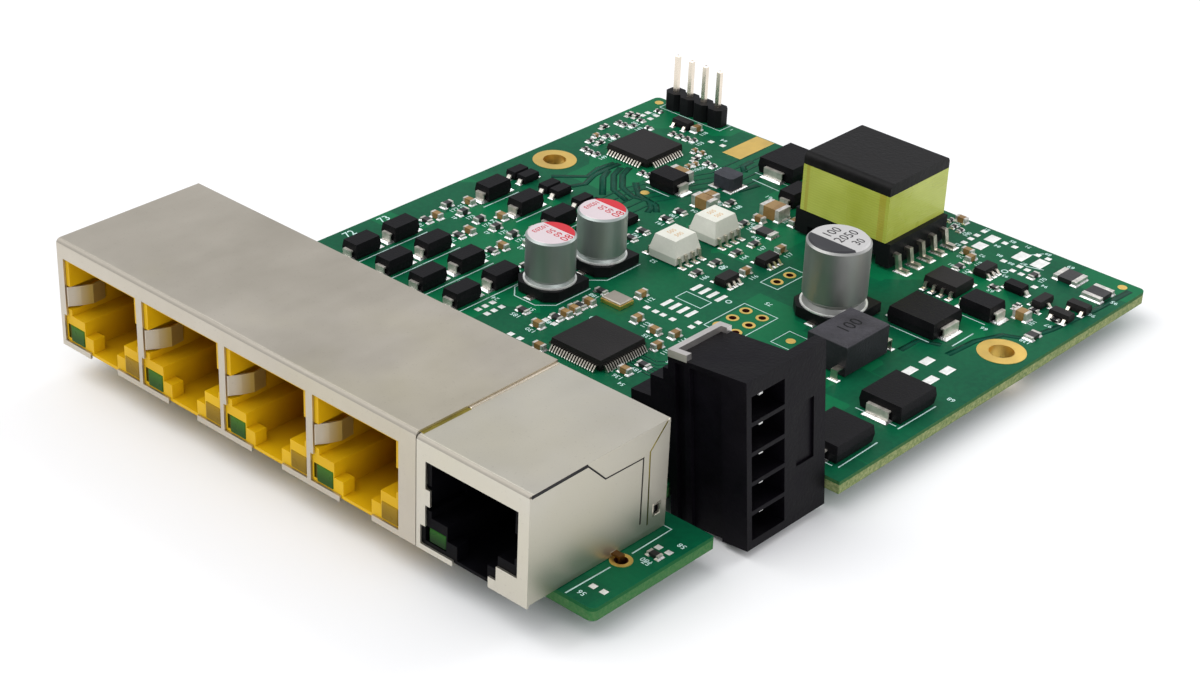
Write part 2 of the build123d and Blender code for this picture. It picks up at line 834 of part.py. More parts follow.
with BuildPart() as switch_chip_leads:
    for direction in ("+x", "-x", "+y", "-y"):
        sites = lead_row([switch_chip], direction, switch_chip_leads_per_side, switch_chip_lead_pitch)
        short_leads(sites, direction, switch_chip_size / 2, 0.85, 0.8, 0.18)

with BuildPart() as controller_body:
    moulded_blocks([controller], controller_length_x, controller_length_y, 0.1, 1.3)

with BuildPart() as controller_leads:
    for direction, length in (
        ("+x", controller_length_x),
        ("-x", controller_length_x),
        ("+y", controller_length_y),
        ("-y", controller_length_y),
    ):
        short_leads(lead_row([controller], direction, 12, 0.5), direction, length / 2, 0.75, 0.9, 0.22)

# Eight-lead driver chip
driver = (22.4, 8.75)
with BuildPart() as driver_body:
    moulded_blocks([driver], 4.9, 3.9, 0.1, 1.55)

with BuildPart() as driver_leads:
    for direction in ("-y", "+y"):
        gull_leads(lead_row([driver], direction, 4, 1.27), direction, 1.95, 0.85, 1.0, 0.42)

# Six-lead chips, long side along Y
six_lead_places = [(2.5, -10.4), (2.7, -2.7), (23.5, 15.2)]
with BuildPart() as six_lead_bodies:
    moulded_blocks(six_lead_places, 1.7, 2.9, 0.1, 1.15)

with BuildPart() as six_lead_leads:
    for direction in ("-x", "+x"):
        short_leads(lead_row(six_lead_places, direction, 3, 0.95), direction, 0.85, 0.65, 0.65, 0.38)

# Small transistors: one lead on one long side, two on the other
transistors_along_x = [(-31.3, 20.9), (36.8, 12.1), (37.2, 15.4)]
transistors_along_y = [(33.2, 13.4)]
with BuildPart() as transistor_bodies:
    moulded_blocks(transistors_along_x, 2.9, 1.4, 0.1, 1.1)
    moulded_blocks(transistors_along_y, 1.4, 2.9, 0.1, 1.1)

with BuildPart() as transistor_leads:
    for sites, lone, paired in ((transistors_along_x, "+y", "-y"), (transistors_along_y, "+x", "-x")):
        short_leads(sites, lone, 0.7, 0.6, 0.55, 0.42)
        short_leads(lead_row(sites, paired, 2, 1.9), paired, 0.7, 0.6, 0.55, 0.42)

# Crystal: ceramic base with a gold rim and a metal lid
crystal = (-3.45, -24.1)
with BuildPart() as crystal_base:
    block(*crystal, 3.2, 2.5, solder_gap, 0.55)

with BuildPart() as crystal_lid:
    block(*crystal, 3.0, 2.3, 0.55, 0.85)
    chamfer(edges().group_by(Axis.Z)[-1], length=0.1)

# Port diodes: a bay of power diodes in three rows, and one beside the transformer
diode_pitch = 5.87
diode_length = 4.2
diode_columns = [-34.4 + diode_pitch * column for column in range(4)]
port_diodes = [(x, y) for y in (-37.4, -30.7, -13.9) for x in diode_columns] + [(-5.6, 13.6)]
with BuildPart() as port_diode_bodies:
    moulded_blocks(port_diodes, 2.6, diode_length, 0.15, 2.15)

with BuildPart() as port_diode_terminals:
    for direction in ("-y", "+y"):
        strap_terminals(port_diodes, direction, diode_length / 2, 1.3, 0.45, 1.4)

# Larger diodes: places, length, width, height, axis
large_diodes = [
    ([(25.8, -1.2)], 6.9, 5.9, 2.3, "x"),
    ([(35.0, -19.2), (35.0, -31.0), (-11.9, 20.6)], 6.9, 5.9, 2.3, "y"),
    ([(29.2, 6.1)], 4.5, 3.4, 2.1, "x"),
    ([(-20.0, 4.75)], 4.2, 3.4, 2.2, "x"),
]
with BuildPart() as large_diode_bodies:
    for places, length, width, height, axis in large_diodes:
        size_x, size_y = (length, width) if axis == "x" else (width, length)
        moulded_blocks(places, size_x, size_y, 0.15, height)

with BuildPart() as large_diode_terminals:
    for places, length, width, height, axis in large_diodes:
        for direction in ("-" + axis, "+" + axis):
            strap_terminals(places, direction, length / 2, height * 0.62, 0.55, width * 0.52)

# Small diodes in pairs behind the port diodes, and one near the driver
small_diode_pairs = [(x + shift, -7.3) for x in diode_columns for shift in (-1.9, 0.05)]
small_diode_alone = [(28.9, 14.0)]
with BuildPart() as small_diode_bodies:
    moulded_blocks(small_diode_pairs, 1.6, 2.7, 0.1, 1.15)
    moulded_blocks(small_diode_alone, 2.7, 1.6, 0.1, 1.15)

with BuildPart() as small_diode_terminals:
    for places, axis in ((small_diode_pairs, "y"), (small_diode_alone, "x")):
        for direction in ("-" + axis, "+" + axis):
            short_leads(places, direction, 1.35, 0.65, 0.5, 0.6)

# Small power inductor
with BuildPart() as inductor_body:
    block(-14.9, 10.9, 3.3, 2.8, 0.15, 1.9)
    chamfer(edges().filter_by(Axis.Z), length=0.4)

with BuildPart() as inductor_terminals:
    for side in (-1, 1):
        block(-14.9 + side * 1.2, 10.9, 1.1, 3.2, solder_gap, 0.15)


def chip_bodies(groups):
    """Ceramic middles of chip parts, from groups of length, width, height, axis and places."""
    for length, width, height, axis, places in groups:
        middle = length * (1 - 2 * chip_end_share)
        size_x, size_y = (middle, width) if axis == "x" else (width, middle)
        blocks(places, size_x, size_y, solder_gap, height)


def chip_ends(groups):
    """Plated ends of the same chip parts."""
    for length, width, height, axis, places in groups:
        cap = length * chip_end_share
        shift = (length - cap) / 2
        if axis == "x":
            sites = [(x + side * shift, y) for x, y in places for side in (-1, 1)]
            blocks(sites, cap, width, solder_gap, height)
        else:
            sites = [(x, y + side * shift) for x, y in places for side in (-1, 1)]
            blocks(sites, width, cap, solder_gap, height)


# Chip capacitors
chip_end_share = 0.2
bay_capacitors = [(x - 0.4, y) for x in diode_columns for y in (-17.9, -23.8)]
lone_capacitors_x = [
    (-6.1, -35.3),
    (-2.3, -39.1),
    (-5.6, -31.0),
    (-5.6, -29.5),
    (-5.6, -26.8),
    (4.6, -26.4),
    (8.4, -36.0),
    (-5.4, 5.8),
    (18.9, 18.0),
    (13.1, 25.0),
]
lone_capacitors_y = [
    (-2.5, -20.7),
    (1.2, -25.7),
    (6.9, -25.4),
    (7.2, -29.0),
    (2.6, -6.9),
    (1.9, 1.0),
    (-29.1, 21.2),
    (20.2, 16.7),
    (-1.6, 8.3),
]
small_capacitors_y = [(-37.4, 9.5), (-24.8, 15.7), (-23.6, 15.8), (-22.2, 11.2), (-22.0, 12.5)]
chip_capacitors = [
    (1.6, 0.8, 0.8, "x", bay_capacitors + lone_capacitors_x),
    (1.6, 0.8, 0.8, "y", lone_capacitors_y),
    (1.0, 0.5, 0.5, "y", small_capacitors_y),
    (3.2, 1.6, 1.6, "x", [(-20.4, 7.6), (-12.9, 3.6)]),
    (3.2, 2.4, 1.7, "x", [(-4.9, 8.3)]),
    (2.0, 1.25, 1.2, "x", [(-13.6, 5.8), (33.4, 8.6)]),
]
with BuildPart() as chip_capacitor_bodies:
    chip_bodies(chip_capacitors)

with BuildPart() as chip_capacitor_ends:
    chip_ends(chip_capacitors)

# Chip resistors
bay_resistors = [(x - 0.6, -25.5) for x in diode_columns]
bay_snubbers = [(-36.2 + diode_pitch / 2 * index, -20.6) for index in range(8)]
lone_resistors_x = [
    (-9.9, -33.9),
    (-5.9, -32.3),
    (-5.9, -28.1),
    (-6.6, -23.5),
    (8.9, -33.3),
    (-14.0, 0.1),
    (-13.9, -2.8),
    (-13.7, -7.6),
    (-13.5, -10.2),
    (ring_hole_x + 1.9, -61.8),
]
lone_resistors_y = [
    (-1.6, -3.6),
    (-1.7, -7.6),
    (-1.6, -11.4),
    (-1.6, 0.0),
    (-11.2, 6.8),
    (-6.2, 3.4),
    (28.3, 18.9),
    (20.3, 13.9),
]
small_resistors_x = [(-36.9, 22.2), (-36.5, 18.0), (-34.1, 16.9)]
small_resistors_y = [
    (-38.2, 15.1),
    (-37.2, 15.1),
    (-36.2, 15.8),
    (-36.9, 7.7),
    (-36.4, 10.5),
    (-35.4, 11.3),
    (-35.6, 5.3),
    (-34.4, 5.0),
    (-33.4, 5.2),
    (-30.6, 17.8),
    (-29.4, 17.9),
    (-28.2, 18.0),
    (-27.2, 18.3),
    (-25.3, 5.3),
    (-24.2, 5.4),
    (-21.2, 14.0),
    (-20.0, 13.9),
    (11.9, 24.1),
    (13.3, 22.9),
    (14.5, 22.6),
]
chip_resistors = [
    (1.6, 0.8, 0.45, "x", bay_resistors + lone_resistors_x),
    (1.6, 0.8, 0.7, "y", bay_snubbers),
    (1.6, 0.8, 0.45, "y", lone_resistors_y),
    (1.0, 0.5, 0.35, "x", small_resistors_x),
    (1.0, 0.5, 0.35, "y", small_resistors_y),
    (3.2, 1.6, 0.55, "x", [(-2.6, 3.5)]),
    (2.0, 1.25, 0.5, "y", [(36.9, 5.6)]),
]
with BuildPart() as chip_resistor_bodies:
    chip_bodies(chip_resistors)

with BuildPart() as chip_resistor_ends:
    chip_ends(chip_resistors)

# Current-sense resistors
sense_resistors = [(3.4, 2.7, 0.65, "x", [(31.9, 21.7)]), (3.4, 2.7, 0.65, "y", [(36.7, 20.5)])]
with BuildPart() as sense_resistor_bodies:
    chip_bodies(sense_resistors)

with BuildPart() as sense_resistor_ends:
    chip_ends(sense_resistors)

nodes = {
    "circuit_board": circuit_board,
    "mounting_hole_plating": mounting_hole_plating,
    "quad_jack_shield": quad_jack_shield,
    "quad_jack_housing": quad_jack_housing,
    "quad_jack_contacts": quad_jack_contacts,
    "quad_jack_green_lights": quad_jack_green_lights,
    "quad_jack_amber_lights": quad_jack_amber_lights,
    "single_jack_shield": single_jack_shield,
    "single_jack_housing": single_jack_housing,
    "single_jack_contacts": single_jack_contacts,
    "single_jack_lights": single_jack_lights,
    "terminal_header_housing": terminal_header_housing,
    "terminal_header_pins": terminal_header_pins,
    "terminal_header_clip": terminal_header_clip,
    "pin_header_body": pin_header_body,
    "pin_header_pins": pin_header_pins,
    "transformer_bobbin": transformer_bobbin,
    "transformer_core": transformer_core,
    "transformer_tape": transformer_tape,
    "transformer_pins": transformer_pins,
    "electrolytic_can": electrolytic_can,
    "electrolytic_base": electrolytic_base,
    "electrolytic_leads": electrolytic_leads,
    "polymer_cans": polymer_cans,
    "polymer_bases": polymer_bases,
    "polymer_leads": polymer_leads,
    "choke_body": choke_body,
    "choke_terminals": choke_terminals,
    "optocoupler_bodies": optocoupler_bodies,
    "optocoupler_leads": optocoupler_leads,
    "switch_chip_body": switch_chip_body,
    "switch_chip_leads": switch_chip_leads,
    "controller_body": controller_body,
    "controller_leads": controller_leads,
    "driver_body": driver_body,
    "driver_leads": driver_leads,
    "six_lead_bodies": six_lead_bodies,
    "six_lead_leads": six_lead_leads,
    "transistor_bodies": transistor_bodies,
    "transistor_leads": transistor_leads,
    "crystal_base": crystal_base,
    "crystal_lid": crystal_lid,
    "port_diode_bodies": port_diode_bodies,
    "port_diode_terminals": port_diode_terminals,
    "large_diode_bodies": large_diode_bodies,
    "large_diode_terminals": large_diode_terminals,
    "small_diode_bodies": small_diode_bodies,
    "small_diode_terminals": small_diode_terminals,
    "inductor_body": inductor_body,
    "inductor_terminals": inductor_terminals,
    "chip_capacitor_bodies": chip_capacitor_bodies,
    "chip_capacitor_ends": chip_capacitor_ends,
    "chip_resistor_bodies": chip_resistor_bodies,
    "chip_resistor_ends": chip_resistor_ends,
    "sense_resistor_bodies": sense_resistor_bodies,
    "sense_resistor_ends": sense_resistor_ends,
}
for label, piece in nodes.items():
    piece.part.label = label
    export_step(piece.part, f"parts/{label}.step")
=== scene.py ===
import math
import bpy
import bmesh
from mathutils import Matrix, Vector


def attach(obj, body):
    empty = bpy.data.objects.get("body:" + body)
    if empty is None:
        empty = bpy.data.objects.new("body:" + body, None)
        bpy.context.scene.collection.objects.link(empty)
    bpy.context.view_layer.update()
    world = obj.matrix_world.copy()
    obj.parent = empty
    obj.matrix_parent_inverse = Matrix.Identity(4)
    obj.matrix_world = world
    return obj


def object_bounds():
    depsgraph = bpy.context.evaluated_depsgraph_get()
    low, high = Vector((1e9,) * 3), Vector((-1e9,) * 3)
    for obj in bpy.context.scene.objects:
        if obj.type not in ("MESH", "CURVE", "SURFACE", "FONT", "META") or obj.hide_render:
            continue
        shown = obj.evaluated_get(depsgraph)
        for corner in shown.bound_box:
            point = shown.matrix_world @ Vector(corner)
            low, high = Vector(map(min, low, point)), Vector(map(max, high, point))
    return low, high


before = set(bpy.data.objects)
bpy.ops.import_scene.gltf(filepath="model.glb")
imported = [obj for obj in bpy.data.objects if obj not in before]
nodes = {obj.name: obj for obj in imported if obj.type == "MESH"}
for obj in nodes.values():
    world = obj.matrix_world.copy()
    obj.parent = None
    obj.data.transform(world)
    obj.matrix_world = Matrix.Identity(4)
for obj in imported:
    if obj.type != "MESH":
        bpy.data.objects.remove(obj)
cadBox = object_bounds()
mm = 0.001
micron = 0.001 * mm
jack = {
    "front": -77.7,
    "back": -56.8,
    "portPitch": 13.97,
    "firstPort": -34.295,
    "singlePort": 24.465,
    "quadRight": 16.6,
    "singleLeft": 16.7,
    "singleRight": 32.4,
    "quadTop": 13.5,
    "singleTop": 13.2,
    "lightOffset": 4.975,
    "lightWidth": 2.45,
    "lightHeight": 1.75,
    "lightMiddle": 1.825,
}
portCentres = [jack["firstPort"] + jack["portPitch"] * port for port in range(4)]
print("frame loaded:", len(nodes), "nodes")


# shader tools
class Wire:  # a node socket that can be used in plain expressions
    def __init__(self, tree, socket):
        self.tree = tree
        self.socket = socket

    def math(self, operation, other=None, swap=False):
        pair = (other, self) if swap else (self, other)
        return makeNode(self.tree, "ShaderNodeMath", {"operation": operation}, {0: pair[0], 1: pair[1]})

    def __add__(self, other):
        return self.math("ADD", other)

    def __radd__(self, other):
        return self.math("ADD", other, True)

    def __sub__(self, other):
        return self.math("SUBTRACT", other)

    def __rsub__(self, other):
        return self.math("SUBTRACT", other, True)

    def __mul__(self, other):
        return self.math("MULTIPLY", other)

    def __rmul__(self, other):
        return self.math("MULTIPLY", other, True)

    def __truediv__(self, other):
        return self.math("DIVIDE", other)

    def __rtruediv__(self, other):
        return self.math("DIVIDE", other, True)

    def above(self, level):
        return self.math("GREATER_THAN", level)

    def below(self, level):
        return self.math("LESS_THAN", level)

    def larger(self, other):
        return self.math("MAXIMUM", other)

    def size(self):
        return self.math("ABSOLUTE", 0.0)

    def fraction(self):
        return self.math("FRACT", 0.0)

    def between(self, low, high):
        return self.above(low) * self.below(high)

    def root(self):
        return self.math("SQRT", 0.0)


def makeNode(tree, kind, settings=None, inputs=None, out=0):
    node = tree.nodes.new(kind)
    for key, value in (settings or {}).items():
        if key == "stops":
            ramp = node.color_ramp
            while len(ramp.elements) < len(value):
                ramp.elements.new(0.5)
            for element, (place, colour) in zip(ramp.elements, value):
                element.position = place
                element.color = colour if len(colour) == 4 else (*colour, 1.0)
        else:
            setattr(node, key, value)
    for key, value in (inputs or {}).items():
        if value is None:
            continue
        if isinstance(value, Wire):
            tree.links.new(value.socket, node.inputs[key])
        else:
            node.inputs[key].default_value = value
    return Wire(tree, node.outputs[out])


class Finish:  # one material with a Principled shader
    def __init__(self, name, **constants):
        self.material = bpy.data.materials.new(name)
        self.material.use_nodes = True
        self.tree = self.material.node_tree
        self.shader = self.tree.nodes["Principled BSDF"]
        self.place = makeNode(self.tree, "ShaderNodeTexCoord", out=3)
        for key, value in constants.items():
            self.shader.inputs[key.replace("_", " ")].default_value = value

    def xyz(self):
        split = "ShaderNodeSeparateXYZ"
        return [makeNode(self.tree, split, None, {0: self.place}, axis) for axis in range(3)]

    def noise(self, scale, detail=2.0, roughness=0.5, stretch=None):
        vector = self.place
        if stretch:
            vector = makeNode(self.tree, "ShaderNodeMapping", None, {"Vector": vector, "Scale": stretch})
        return makeNode(
            self.tree,
            "ShaderNodeTexNoise",
            None,
            {"Vector": vector, "Scale": scale, "Detail": detail, "Roughness": roughness},
        )

    def spread(self, value, low, high, fromLow=0.3, fromHigh=0.7):
        return makeNode(
            self.tree,
            "ShaderNodeMapRange",
            None,
            {"Value": value, "From Min": fromLow, "From Max": fromHigh, "To Min": low, "To Max": high},
        )

    def mix(self, factor, first, second):
        pair = [(*c, 1.0) if isinstance(c, tuple) and len(c) == 3 else c for c in (first, second)]
        links = {0: factor, 6: pair[0], 7: pair[1]}
        return makeNode(self.tree, "ShaderNodeMix", {"data_type": "RGBA"}, links, 2)

    def bump(self, height, distance, strength=1.0):
        normal = makeNode(
            self.tree, "ShaderNodeBump", None, {"Height": height, "Distance": distance, "Strength": strength}
        )
        self.feed(Normal=normal)

    def feed(self, **wires):
        for key, wire in wires.items():
            self.tree.links.new(wire.socket, self.shader.inputs[key.replace("_", " ")])
        return self


def moulded(name, colour, rough, mottle, grain, grainDepth, shine):
    finish = Finish(name, Specular_IOR_Level=shine)
    broad = finish.noise(260, 3.0)
    fine = finish.noise(grain, 2.0, 0.6)
    dark = tuple(c * (1 - mottle) for c in colour)
    light = tuple(min(1.0, c * (1 + mottle)) for c in colour)
    finish.feed(
        Base_Color=finish.mix(finish.spread(broad + fine * 0.4 - 0.2, 0.0, 1.0), dark, light),
        Roughness=finish.spread(broad, rough - 0.07, rough + 0.07),
    )
    finish.bump(fine, grainDepth * micron)
    return finish


def metal(name, colour, rough, mottle, patch, depth, whole):
    finish = Finish(name, Metallic=whole)
    broad = finish.noise(patch, 4.0, 0.6)
    fine = finish.noise(5200, 2.0, 0.6)
    dark = tuple(c * (1 - mottle) for c in colour)
    light = tuple(min(1.0, c * (1 + mottle)) for c in colour)
    finish.feed(
        Base_Color=finish.mix(finish.spread(broad, 0.0, 1.0), dark, light),
        Roughness=finish.spread(broad + fine * 0.3 - 0.15, rough - 0.06, rough + 0.08),
    )
    finish.bump(fine, depth * micron)
    return finish


finishes = {}


def leadFinish():
    # fine leads: painted shade where they leave the body, and a painted highlight at the toe
    finish = Finish("fineLead", Metallic=1.0)
    z = finish.xyz()[2]
    cloud = finish.noise(1500, 2.0)
    paintedToeLight = finish.spread(z, 1.0, 0.0, 0.14 * mm, 0.34 * mm)
    finish.feed(
        Base_Color=finish.mix(paintedToeLight, (0.30, 0.28, 0.24), (0.92, 0.91, 0.87)),
        Roughness=finish.spread(cloud, 0.24, 0.36),
    )
    finish.bump(cloud, 0.00001)
    return finish


finishes["fineLead"] = leadFinish()

# materials
boardLook = {
    "mask": (0.0014, 0.108, 0.043),
    "maskDeep": (0.0012, 0.070, 0.033),
    "maskOverCopper": (0.0016, 0.165, 0.056),
    "glassFibre": (0.004, 0.22, 0.08),
    "laminate": (0.31, 0.33, 0.15),
    "laminateDark": (0.10, 0.16, 0.055),
    "edgeInk": (0.003, 0.085, 0.025),
    "stripEdge": (0.010, 0.125, 0.036),
    "stripBack": -50.0,
    "thickness": 1.6,
    "pourScale": 95.0,
    "pourShare": 0.5,
    "cloudScale": 70,
    "weaveScale": 1500,
    "layerScale": 2600,
    "inkDepth": 0.45,
}


def boardFinish():
    look = boardLook
    finish = Finish("solderMask", Specular_IOR_Level=0.10)
    x, y, z = finish.xyz()
    pour = makeNode(
        finish.tree,
        "ShaderNodeTexVoronoi",
        {"distance": "CHEBYCHEV"},
        {"Vector": finish.place, "Scale": look["pourScale"], "Randomness": 0.75},
        1,
    )
    cloud = finish.noise(look["cloudScale"], 3.0)
    weave = finish.noise(look["weaveScale"], 1.0, 0.5)
    tone = finish.mix(finish.spread(cloud, 0.0, 1.0), look["mask"], look["maskDeep"])
    parts = makeNode(finish.tree, "ShaderNodeSeparateColor", None, {0: pour})
    tone = finish.mix(parts.above(0.62) * look["pourShare"], tone, look["maskOverCopper"])
    tone = finish.mix(parts.below(0.22) * look["pourShare"], tone, look["maskDeep"])
    tone = finish.mix(finish.spread(weave, 0.0, 0.12), tone, look["glassFibre"])
    side = z.between((0.02 - look["thickness"]) * mm, -0.02 * mm)
    layers = finish.noise(look["layerScale"], 3.0, 0.6)
    laminate = finish.mix(finish.spread(layers, 0.0, 1.0), look["laminate"], look["laminateDark"])
    laminate = finish.mix(y.below(look["stripBack"] * mm) * 0.8, laminate, look["stripEdge"])
    laminate = finish.mix(z.above(-look["inkDepth"] * mm) * 0.85, laminate, look["edgeInk"])
    finish.feed(
        Base_Color=finish.mix(side, tone, laminate),
        Roughness=finish.spread(cloud, 0.36, 0.46) + side * 0.30,
    )
    finish.bump(weave * 0.4 + cloud, 0.00001, 0.6)
    return finish


finishes["board"] = boardFinish()
mouldedLooks = {  # name, colour, roughness, mottle, grain scale, grain depth in microns, shine
    "traces": ("traceUnderMask", (0.0012, 0.060, 0.034), 0.42, 0.20, 1400, 6, 0.10),
    "silk": ("silkscreen", (0.60, 0.82, 0.78), 0.60, 0.10, 3000, 4, 0.22),
    "olive": ("slotShade", (0.075, 0.060, 0.004), 0.50, 0.20, 2400, 10, 0.10),
    "blackMoulding": ("blackMoulding", (0.005, 0.005, 0.006), 0.50, 0.25, 2400, 20, 0.14),
    "jackBlack": ("jackMoulding", (0.0016, 0.0015, 0.0024), 0.55, 0.25, 2400, 10, 0.07),
    "headerBlack": ("headerMoulding", (0.0028, 0.0022, 0.0038), 0.46, 0.30, 2200, 30, 0.09),
    "epoxy": ("mouldedEpoxy", (0.0065, 0.0060, 0.0072), 0.50, 0.30, 4200, 30, 0.10),
    "chipTop": ("chipEpoxy", (0.014, 0.0125, 0.0125), 0.48, 0.30, 5200, 20, 0.14),
    "choke": ("chokeMoulding", (0.042, 0.040, 0.047), 0.50, 0.35, 3000, 30, 0.22),
    "white": ("whiteMoulding", (0.70, 0.70, 0.62), 0.50, 0.06, 2400, 20, 0.22),
    "greyFerrite": ("greyFerrite", (0.032, 0.034, 0.042), 0.50, 0.35, 2000, 40, 0.22),
    "core": ("ferriteCore", (0.008, 0.0075, 0.0075), 0.44, 0.35, 1700, 40, 0.12),
    "redInk": ("redInk", (0.50, 0.010, 0.020), 0.50, 0.10, 3000, 4, 0.22),
    "darkInk": ("darkInk", (0.020, 0.018, 0.020), 0.50, 0.10, 3000, 4, 0.22),
    "paleInk": ("paleInk", (0.62, 0.40, 0.20), 0.50, 0.10, 3000, 4, 0.22),
    "brownHole": ("holeShade", (0.055, 0.010, 0.004), 0.60, 0.20, 3000, 4, 0.22),
}
metalLooks = {  # name, colour, roughness, mottle, patch scale, grain depth in microns, metallic share
    "gold": ("immersionGold", (0.93, 0.63, 0.17), 0.36, 0.10, 220, 6, 1.0),
    "contactGold": ("contactWire", (0.80, 0.66, 0.36), 0.24, 0.12, 220, 6, 1.0),
    "lidMetal": ("crystalLid", (0.48, 0.43, 0.37), 0.45, 0.08, 220, 6, 1.0),
    "brass": ("brassStrip", (0.34, 0.28, 0.05), 0.34, 0.25, 220, 6, 1.0),
    "foldGold": ("foldedEdge", (0.83, 0.74, 0.62), 0.28, 0.10, 220, 6, 1.0),
    "tin": ("tinnedLead", (0.66, 0.61, 0.52), 0.34, 0.25, 1100, 6, 1.0),
    "solder": ("solder", (0.78, 0.77, 0.74), 0.28, 0.35, 1400, 50, 0.9),
    "strapTin": ("strapTin", (0.76, 0.72, 0.64), 0.38, 0.20, 900, 10, 0.72),
    "padTin": ("padTin", (0.90, 0.90, 0.87), 0.42, 0.10, 1400, 20, 0.5),
    "chipEnd": ("chipEnd", (0.74, 0.71, 0.66), 0.36, 0.25, 1600, 10, 0.75),
    "staple": ("stapleSteel", (0.66, 0.63, 0.60), 0.34, 0.06, 300, 1, 0.9),
    # the terminal header's pins are near-white and hardly metallic, a painted glint that shows them bright in
    # their dark cells
    "pinTipGlint": ("terminalPin", (0.97, 0.97, 0.94), 0.35, 0.03, 900, 2, 0.05),
}
for key, row in mouldedLooks.items():
    finishes[key] = moulded(*row)
for key, row in metalLooks.items():
    finishes[key] = metal(*row)

chokeLook = {
    "topLevel": 4.0,
    "sideShade": (0.006, 0.006, 0.008),
    "sideShare": 0.55,
}


def shadeSides(finish, look):
    # paints shade on a moulding's sides, below its top face
    share = finish.xyz()[2].below(look["topLevel"] * mm) * look["sideShare"]
    tone = Wire(finish.tree, finish.shader.inputs["Base Color"].links[0].from_socket)
    finish.feed(Base_Color=finish.mix(share, tone, look["sideShade"]))


shadeSides(finishes["choke"], chokeLook)

shieldLook = {
    "plate": (0.515, 0.470, 0.388),
    "plateLight": (0.585, 0.540, 0.460),
    "single": (0.665, 0.640, 0.560),
    "speck": (0.30, 0.27, 0.22),
    "stain": (0.60, 0.55, 0.38),
    "foldShade": (0.40, 0.37, 0.32),
    "fingerShadeAndReflection": (0.50, 0.38, 0.12),
    "legShade": (0.16, 0.075, 0.02),
    "wallShade": (0.36, 0.34, 0.28),
    "foldBand": 0.42,
    "cloudScale": 55,
    "smearScale": 240,
    "blotchScale": 38,
    "speckScale": 3800,
    "fingerLow": 4.9,
    "fingerHigh": 7.6,
    "fingerLeft": -40.895,
    "fingerRight": 14.3,
}


def shieldFinish():
    look = shieldLook
    finish = Finish("tinPlate", Metallic=1.0)
    x, y, z = finish.xyz()
    cloud = finish.noise(look["cloudScale"], 5.0, 0.62)
    smear = finish.noise(look["smearScale"], 3.0, 0.6, (1.0, 0.3, 0.6))
    blotch = finish.noise(look["blotchScale"], 3.0, 0.6)
    speck = finish.noise(look["speckScale"], 1.0, 0.5)
    haze = finish.spread(cloud + smear * 0.4 - 0.2, 0.0, 1.0)
    tone = finish.mix(haze, look["plate"], look["plateLight"])
    single = x.above((jack["quadRight"] + 0.04) * mm)
    tone = finish.mix(single * 0.75, tone, look["single"])
    tone = finish.mix(finish.spread(blotch, 0.0, 0.4, 0.5, 0.75), tone, look["stain"])
    tone = finish.mix(speck.above(0.70) * 0.15, tone, look["speck"])
    # painted shade on the front fold damps its highlight, and the fold is rougher than the flat plate
    topLevel = jack["quadTop"] * mm - single * ((jack["quadTop"] - jack["singleTop"]) * mm)
    fold = (z - topLevel).above(-look["foldBand"] * mm) * y.below((jack["front"] + look["foldBand"]) * mm)
    tone = finish.mix(fold * 0.8, tone, look["foldShade"])
    # painted shade and a painted yellow reflection on the spring fingers, growing towards the pocket; the
    # fingers are also rougher
    behind = finish.spread(y, 0.0, 1.0, (jack["front"] + 0.9) * mm, (jack["front"] + 2.6) * mm)
    finger = z.between(look["fingerLow"] * mm, look["fingerHigh"] * mm)
    finger = finger * x.between(look["fingerLeft"] * mm, look["fingerRight"] * mm)
    finger = finger * y.between((jack["front"] + 0.35) * mm, (jack["front"] + 6.0) * mm)
    tone = finish.mix(finger * behind, tone, look["fingerShadeAndReflection"])
    # painted shade on the single jack's right side wall
    wall = x.above((jack["singleRight"] - 0.02) * mm)
    tone = finish.mix(wall * 0.3, tone, look["wallShade"])
    # painted shade: past the single jack's right wall, the shield's leg at its hole is dark brown
    leg = x.above((jack["singleRight"] + 0.05) * mm)
    rough = finish.spread(cloud, 0.38, 0.46) + (smear - 0.5) * 0.10
    finish.feed(
        Base_Color=finish.mix(leg, tone, look["legShade"]),
        Roughness=rough + fold * 0.22 + finger * 0.25,
    )
    finish.bump(cloud * 0.7 + speck * 0.06, 0.00004, 0.4)
    return finish


finishes["shield"] = shieldFinish()

yellowLook = {
    "front": (0.72, 0.44, 0.004),
    "mottle": (0.62, 0.355, 0.003),
    "deep": (0.29, 0.105, 0.001),
    "slotShadeTone": (0.055, 0.060, 0.004),
    "slotInner": 6.17,
    "slotLow": 0.8,
    "slotHigh": 2.9,
    "pocketShadeFrom": 1.2,
    "pocketShadeTo": 10.0,
}


def yellowFinish():
    # moulding with painted shade that darkens it to brown inside the pockets, and painted shade in dark slots
    # beside the lights
    look = yellowLook
    finish = Finish("yellowMoulding", Specular_IOR_Level=0.20)
    x, y, z = finish.xyz()
    broad = finish.noise(120, 3.0)
    fine = finish.noise(1800, 2.0, 0.6)
    half = jack["portPitch"] / 2
    turnsAcross = (x - (jack["firstPort"] - half) * mm) / (jack["portPitch"] * mm)
    across = turnsAcross.fraction() * (2 * half) - half
    tone = finish.mix(finish.spread(broad, 0.0, 1.0), look["front"], look["mottle"])
    reach = [(jack["front"] + look[key]) * mm for key in ("pocketShadeFrom", "pocketShadeTo")]
    depth = finish.spread(y, 0.0, 0.85, *reach)
    tone = finish.mix(depth, tone, look["deep"])
    # painted shade: the dark slots beside the lights
    slot = across.size().above(look["slotInner"])
    slot = slot * z.between(look["slotLow"] * mm, look["slotHigh"] * mm)
    slot = slot * y.above((jack["front"] + 0.32) * mm)
    finish.feed(
        Base_Color=finish.mix(slot * 0.9, tone, look["slotShadeTone"]),
        Roughness=finish.spread(broad, 0.36, 0.50),
    )
    finish.bump(fine, 0.00001)
    return finish


finishes["yellow"] = yellowFinish()


